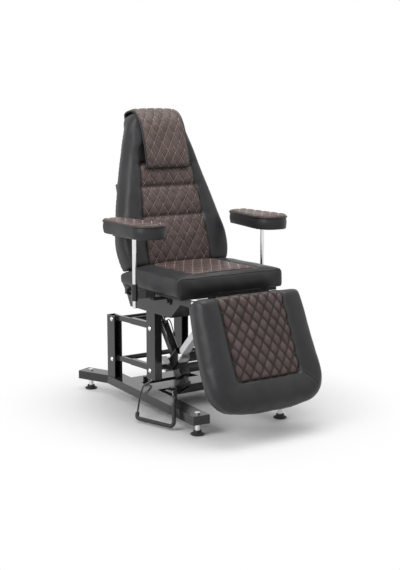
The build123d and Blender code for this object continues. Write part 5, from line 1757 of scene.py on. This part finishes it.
@dataclass
class Steelwork:
    """The construction nodes that show as they are, with staples in the backing cloth."""

    own_finishes: dict[str, Finish] = field(default_factory=lambda: {
        "back_board": Finish.backing_cloth,
        "leg_board": Finish.backing_cloth,
        "seat_board": Finish.backing_cloth,
        "leg_actuator_drive": Finish.leg_drive,
    })
    back_edge: tuple[Pair, ...] = (
        (0.235, 0.03), (0.258, 0.12), (0.245, 0.19), (0.122, 0.66), (0.085, 0.715))
    leg_edge: tuple[Pair, ...] = (
        (0.245, -0.034), (0.262, -0.37), (0.235, -0.44), (0.17, -0.472))
    staple_rise: float = 0.0006

    def build(self) -> None:
        """Gives every construction node its finish and staples the backing."""
        slots = {part["node"]: part["material_slot"] for part in frame["record"]["subparts"]}
        for node, obj in frame["nodes"].items():
            finish = self.own_finishes.get(node) or Finish[slots[node]]
            if not obj.material_slots:
                obj.data.materials.append(finish.material)
            for slot in obj.material_slots:
                slot.material = finish.material
            LOG.info("%s in %s", node, finish.name)
        self.staple("back_staples", "back", BACK, self.back_edge)
        self.staple("leg_staples", "leg_rest", LEG, self.leg_edge)

    def staple(self, name: str, body: str, tilt: Tilt, edge: Sequence[Pair]) -> None:
        """Staples round a backing cloth.

        Args:
            name: the piece's name.
            body: the body that it rides on.
            tilt: the leaning frame of the board.
            edge: half of the way round, at the sitter's left.
        """
        around = [(-x, z) for x, z in edge] + list(reversed(edge))
        line = [tilt.place(x, self.staple_rise, z) for x, z in around]
        row = grow_on_lines(name, [line], staple_tree, Finish.bright_rod, closed=True)
        ride(row, body)


@dataclass
class Lamp:
    """A square soft lamp that faces the chair."""

    name: str
    place: Triple
    size: float
    power: float
    target: Triple = (0.0, 0.0, 0.6)

    def build(self) -> None:
        """Hangs the lamp."""
        data = bpy.data.lights.new(self.name, "AREA")
        data.size = self.size
        data.energy = self.power
        lamp = new_object(self.name, data)
        lamp.location = self.place
        aim = Vector(self.target) - Vector(self.place)
        lamp.rotation_euler = aim.to_track_quat("-Z", "Y").to_euler()


@dataclass
class Studio:
    """A pale floor, soft light and the photograph's camera."""

    lens: float = 71.1
    pitch: float = 9.68
    yaw: float = 34.3
    camera: Triple = (-2.848, -3.864, 1.450)
    view_end: float = 60.0
    world: float = 0.32
    floor_half: float = 14.0
    floor_colour: Triple = (0.80, 0.795, 0.805)
    floor_rough: float = 0.55
    floor_fade: Pair = (0.38, 1.05)
    lamps: tuple[Lamp, ...] = (
        Lamp("key_lamp", (-3.4, -0.7, 2.4), 2.2, 105.0),
        Lamp("fill_lamp", (2.8, -2.4, 2.4), 2.6, 12.0),
        Lamp("top_lamp", (0.2, -0.2, 3.7), 2.4, 84.0),
    )

    def seen_directly(self, nodes: Nodes) -> Socket:
        """1 for camera, glossy and transmission rays.

        Args:
            nodes: the helper for the tree.

        Returns:
            The socket of that number.
        """
        path = nodes.add("ShaderNodeLightPath").outputs
        first = nodes.math("MAXIMUM", path["Is Camera Ray"], path["Is Glossy Ray"])
        return nodes.math("MAXIMUM", first, path["Is Transmission Ray"])

    def build_world(self) -> None:
        """Even light from all round, seen as white."""
        world = bpy.data.worlds.new("studio")
        bpy.context.scene.world = world
        nodes = cleared(world)
        light, seen = (
            nodes.add("ShaderNodeBackground", {"Color": WHITE, "Strength": strength}).outputs[0]
            for strength in (self.world, 1.0)
        )
        mix = nodes.add("ShaderNodeMixShader", {0: self.seen_directly(nodes), 1: light, 2: seen})
        nodes.add("ShaderNodeOutputWorld", {0: mix.outputs[0]})

    def build_floor(self) -> None:
        """A pale floor that turns white away from the chair."""
        work = bmesh.new()
        bmesh.ops.create_grid(work, x_segments=24, y_segments=24, size=self.floor_half)
        mesh = mesh_of("floor", work)
        floor = new_object("floor", mesh)
        made = bpy.data.materials.new("pale_floor")
        nodes = cleared(made)
        place = nodes.add("ShaderNodeTexCoord").outputs["Object"]
        away = nodes.add("ShaderNodeVectorMath", {0: place}, operation="LENGTH").outputs["Value"]
        far = nodes.ranged(away, *self.floor_fade, curve="SMOOTHSTEP")
        inputs = {"Base Color": (*self.floor_colour, 1), "Roughness": self.floor_rough}
        paint = nodes.add("ShaderNodeBsdfPrincipled", inputs)
        glow = nodes.add("ShaderNodeEmission", {"Color": WHITE, "Strength": 1.0})
        share = nodes.math("MULTIPLY", far, self.seen_directly(nodes))
        inputs = {0: share, 1: paint.outputs[0], 2: glow.outputs[0]}
        mix = nodes.add("ShaderNodeMixShader", inputs)
        nodes.add("ShaderNodeOutputMaterial", {0: mix.outputs[0]})
        mesh.materials.append(made)

    def build_camera(self) -> None:
        """The photograph's camera."""
        data = bpy.data.cameras.new("camera")
        data.lens = self.lens
        data.clip_end = self.view_end
        camera = new_object("camera", data)
        camera.location = at(*self.camera)
        camera.rotation_euler = (math.radians(90 - self.pitch), 0, math.radians(-self.yaw))
        bpy.context.scene.camera = camera

    def build(self) -> None:
        """Sets the stage."""
        self.build_world()
        self.build_floor()
        for lamp in self.lamps:
            lamp.build()
        self.build_camera()
        bpy.context.scene.view_settings.view_transform = "Standard"


def main() -> None:
    """Builds the whole chair in order."""
    logging.basicConfig(level=logging.INFO, format="%(message)s")
    armrests = [Armrest(side) for side in Side]
    for part in (Studio(), Steelwork(), MotorLead(), Seat(), Backrest(), LegRest(), *armrests):
        part.build()


if __name__ == "__main__":
    main()
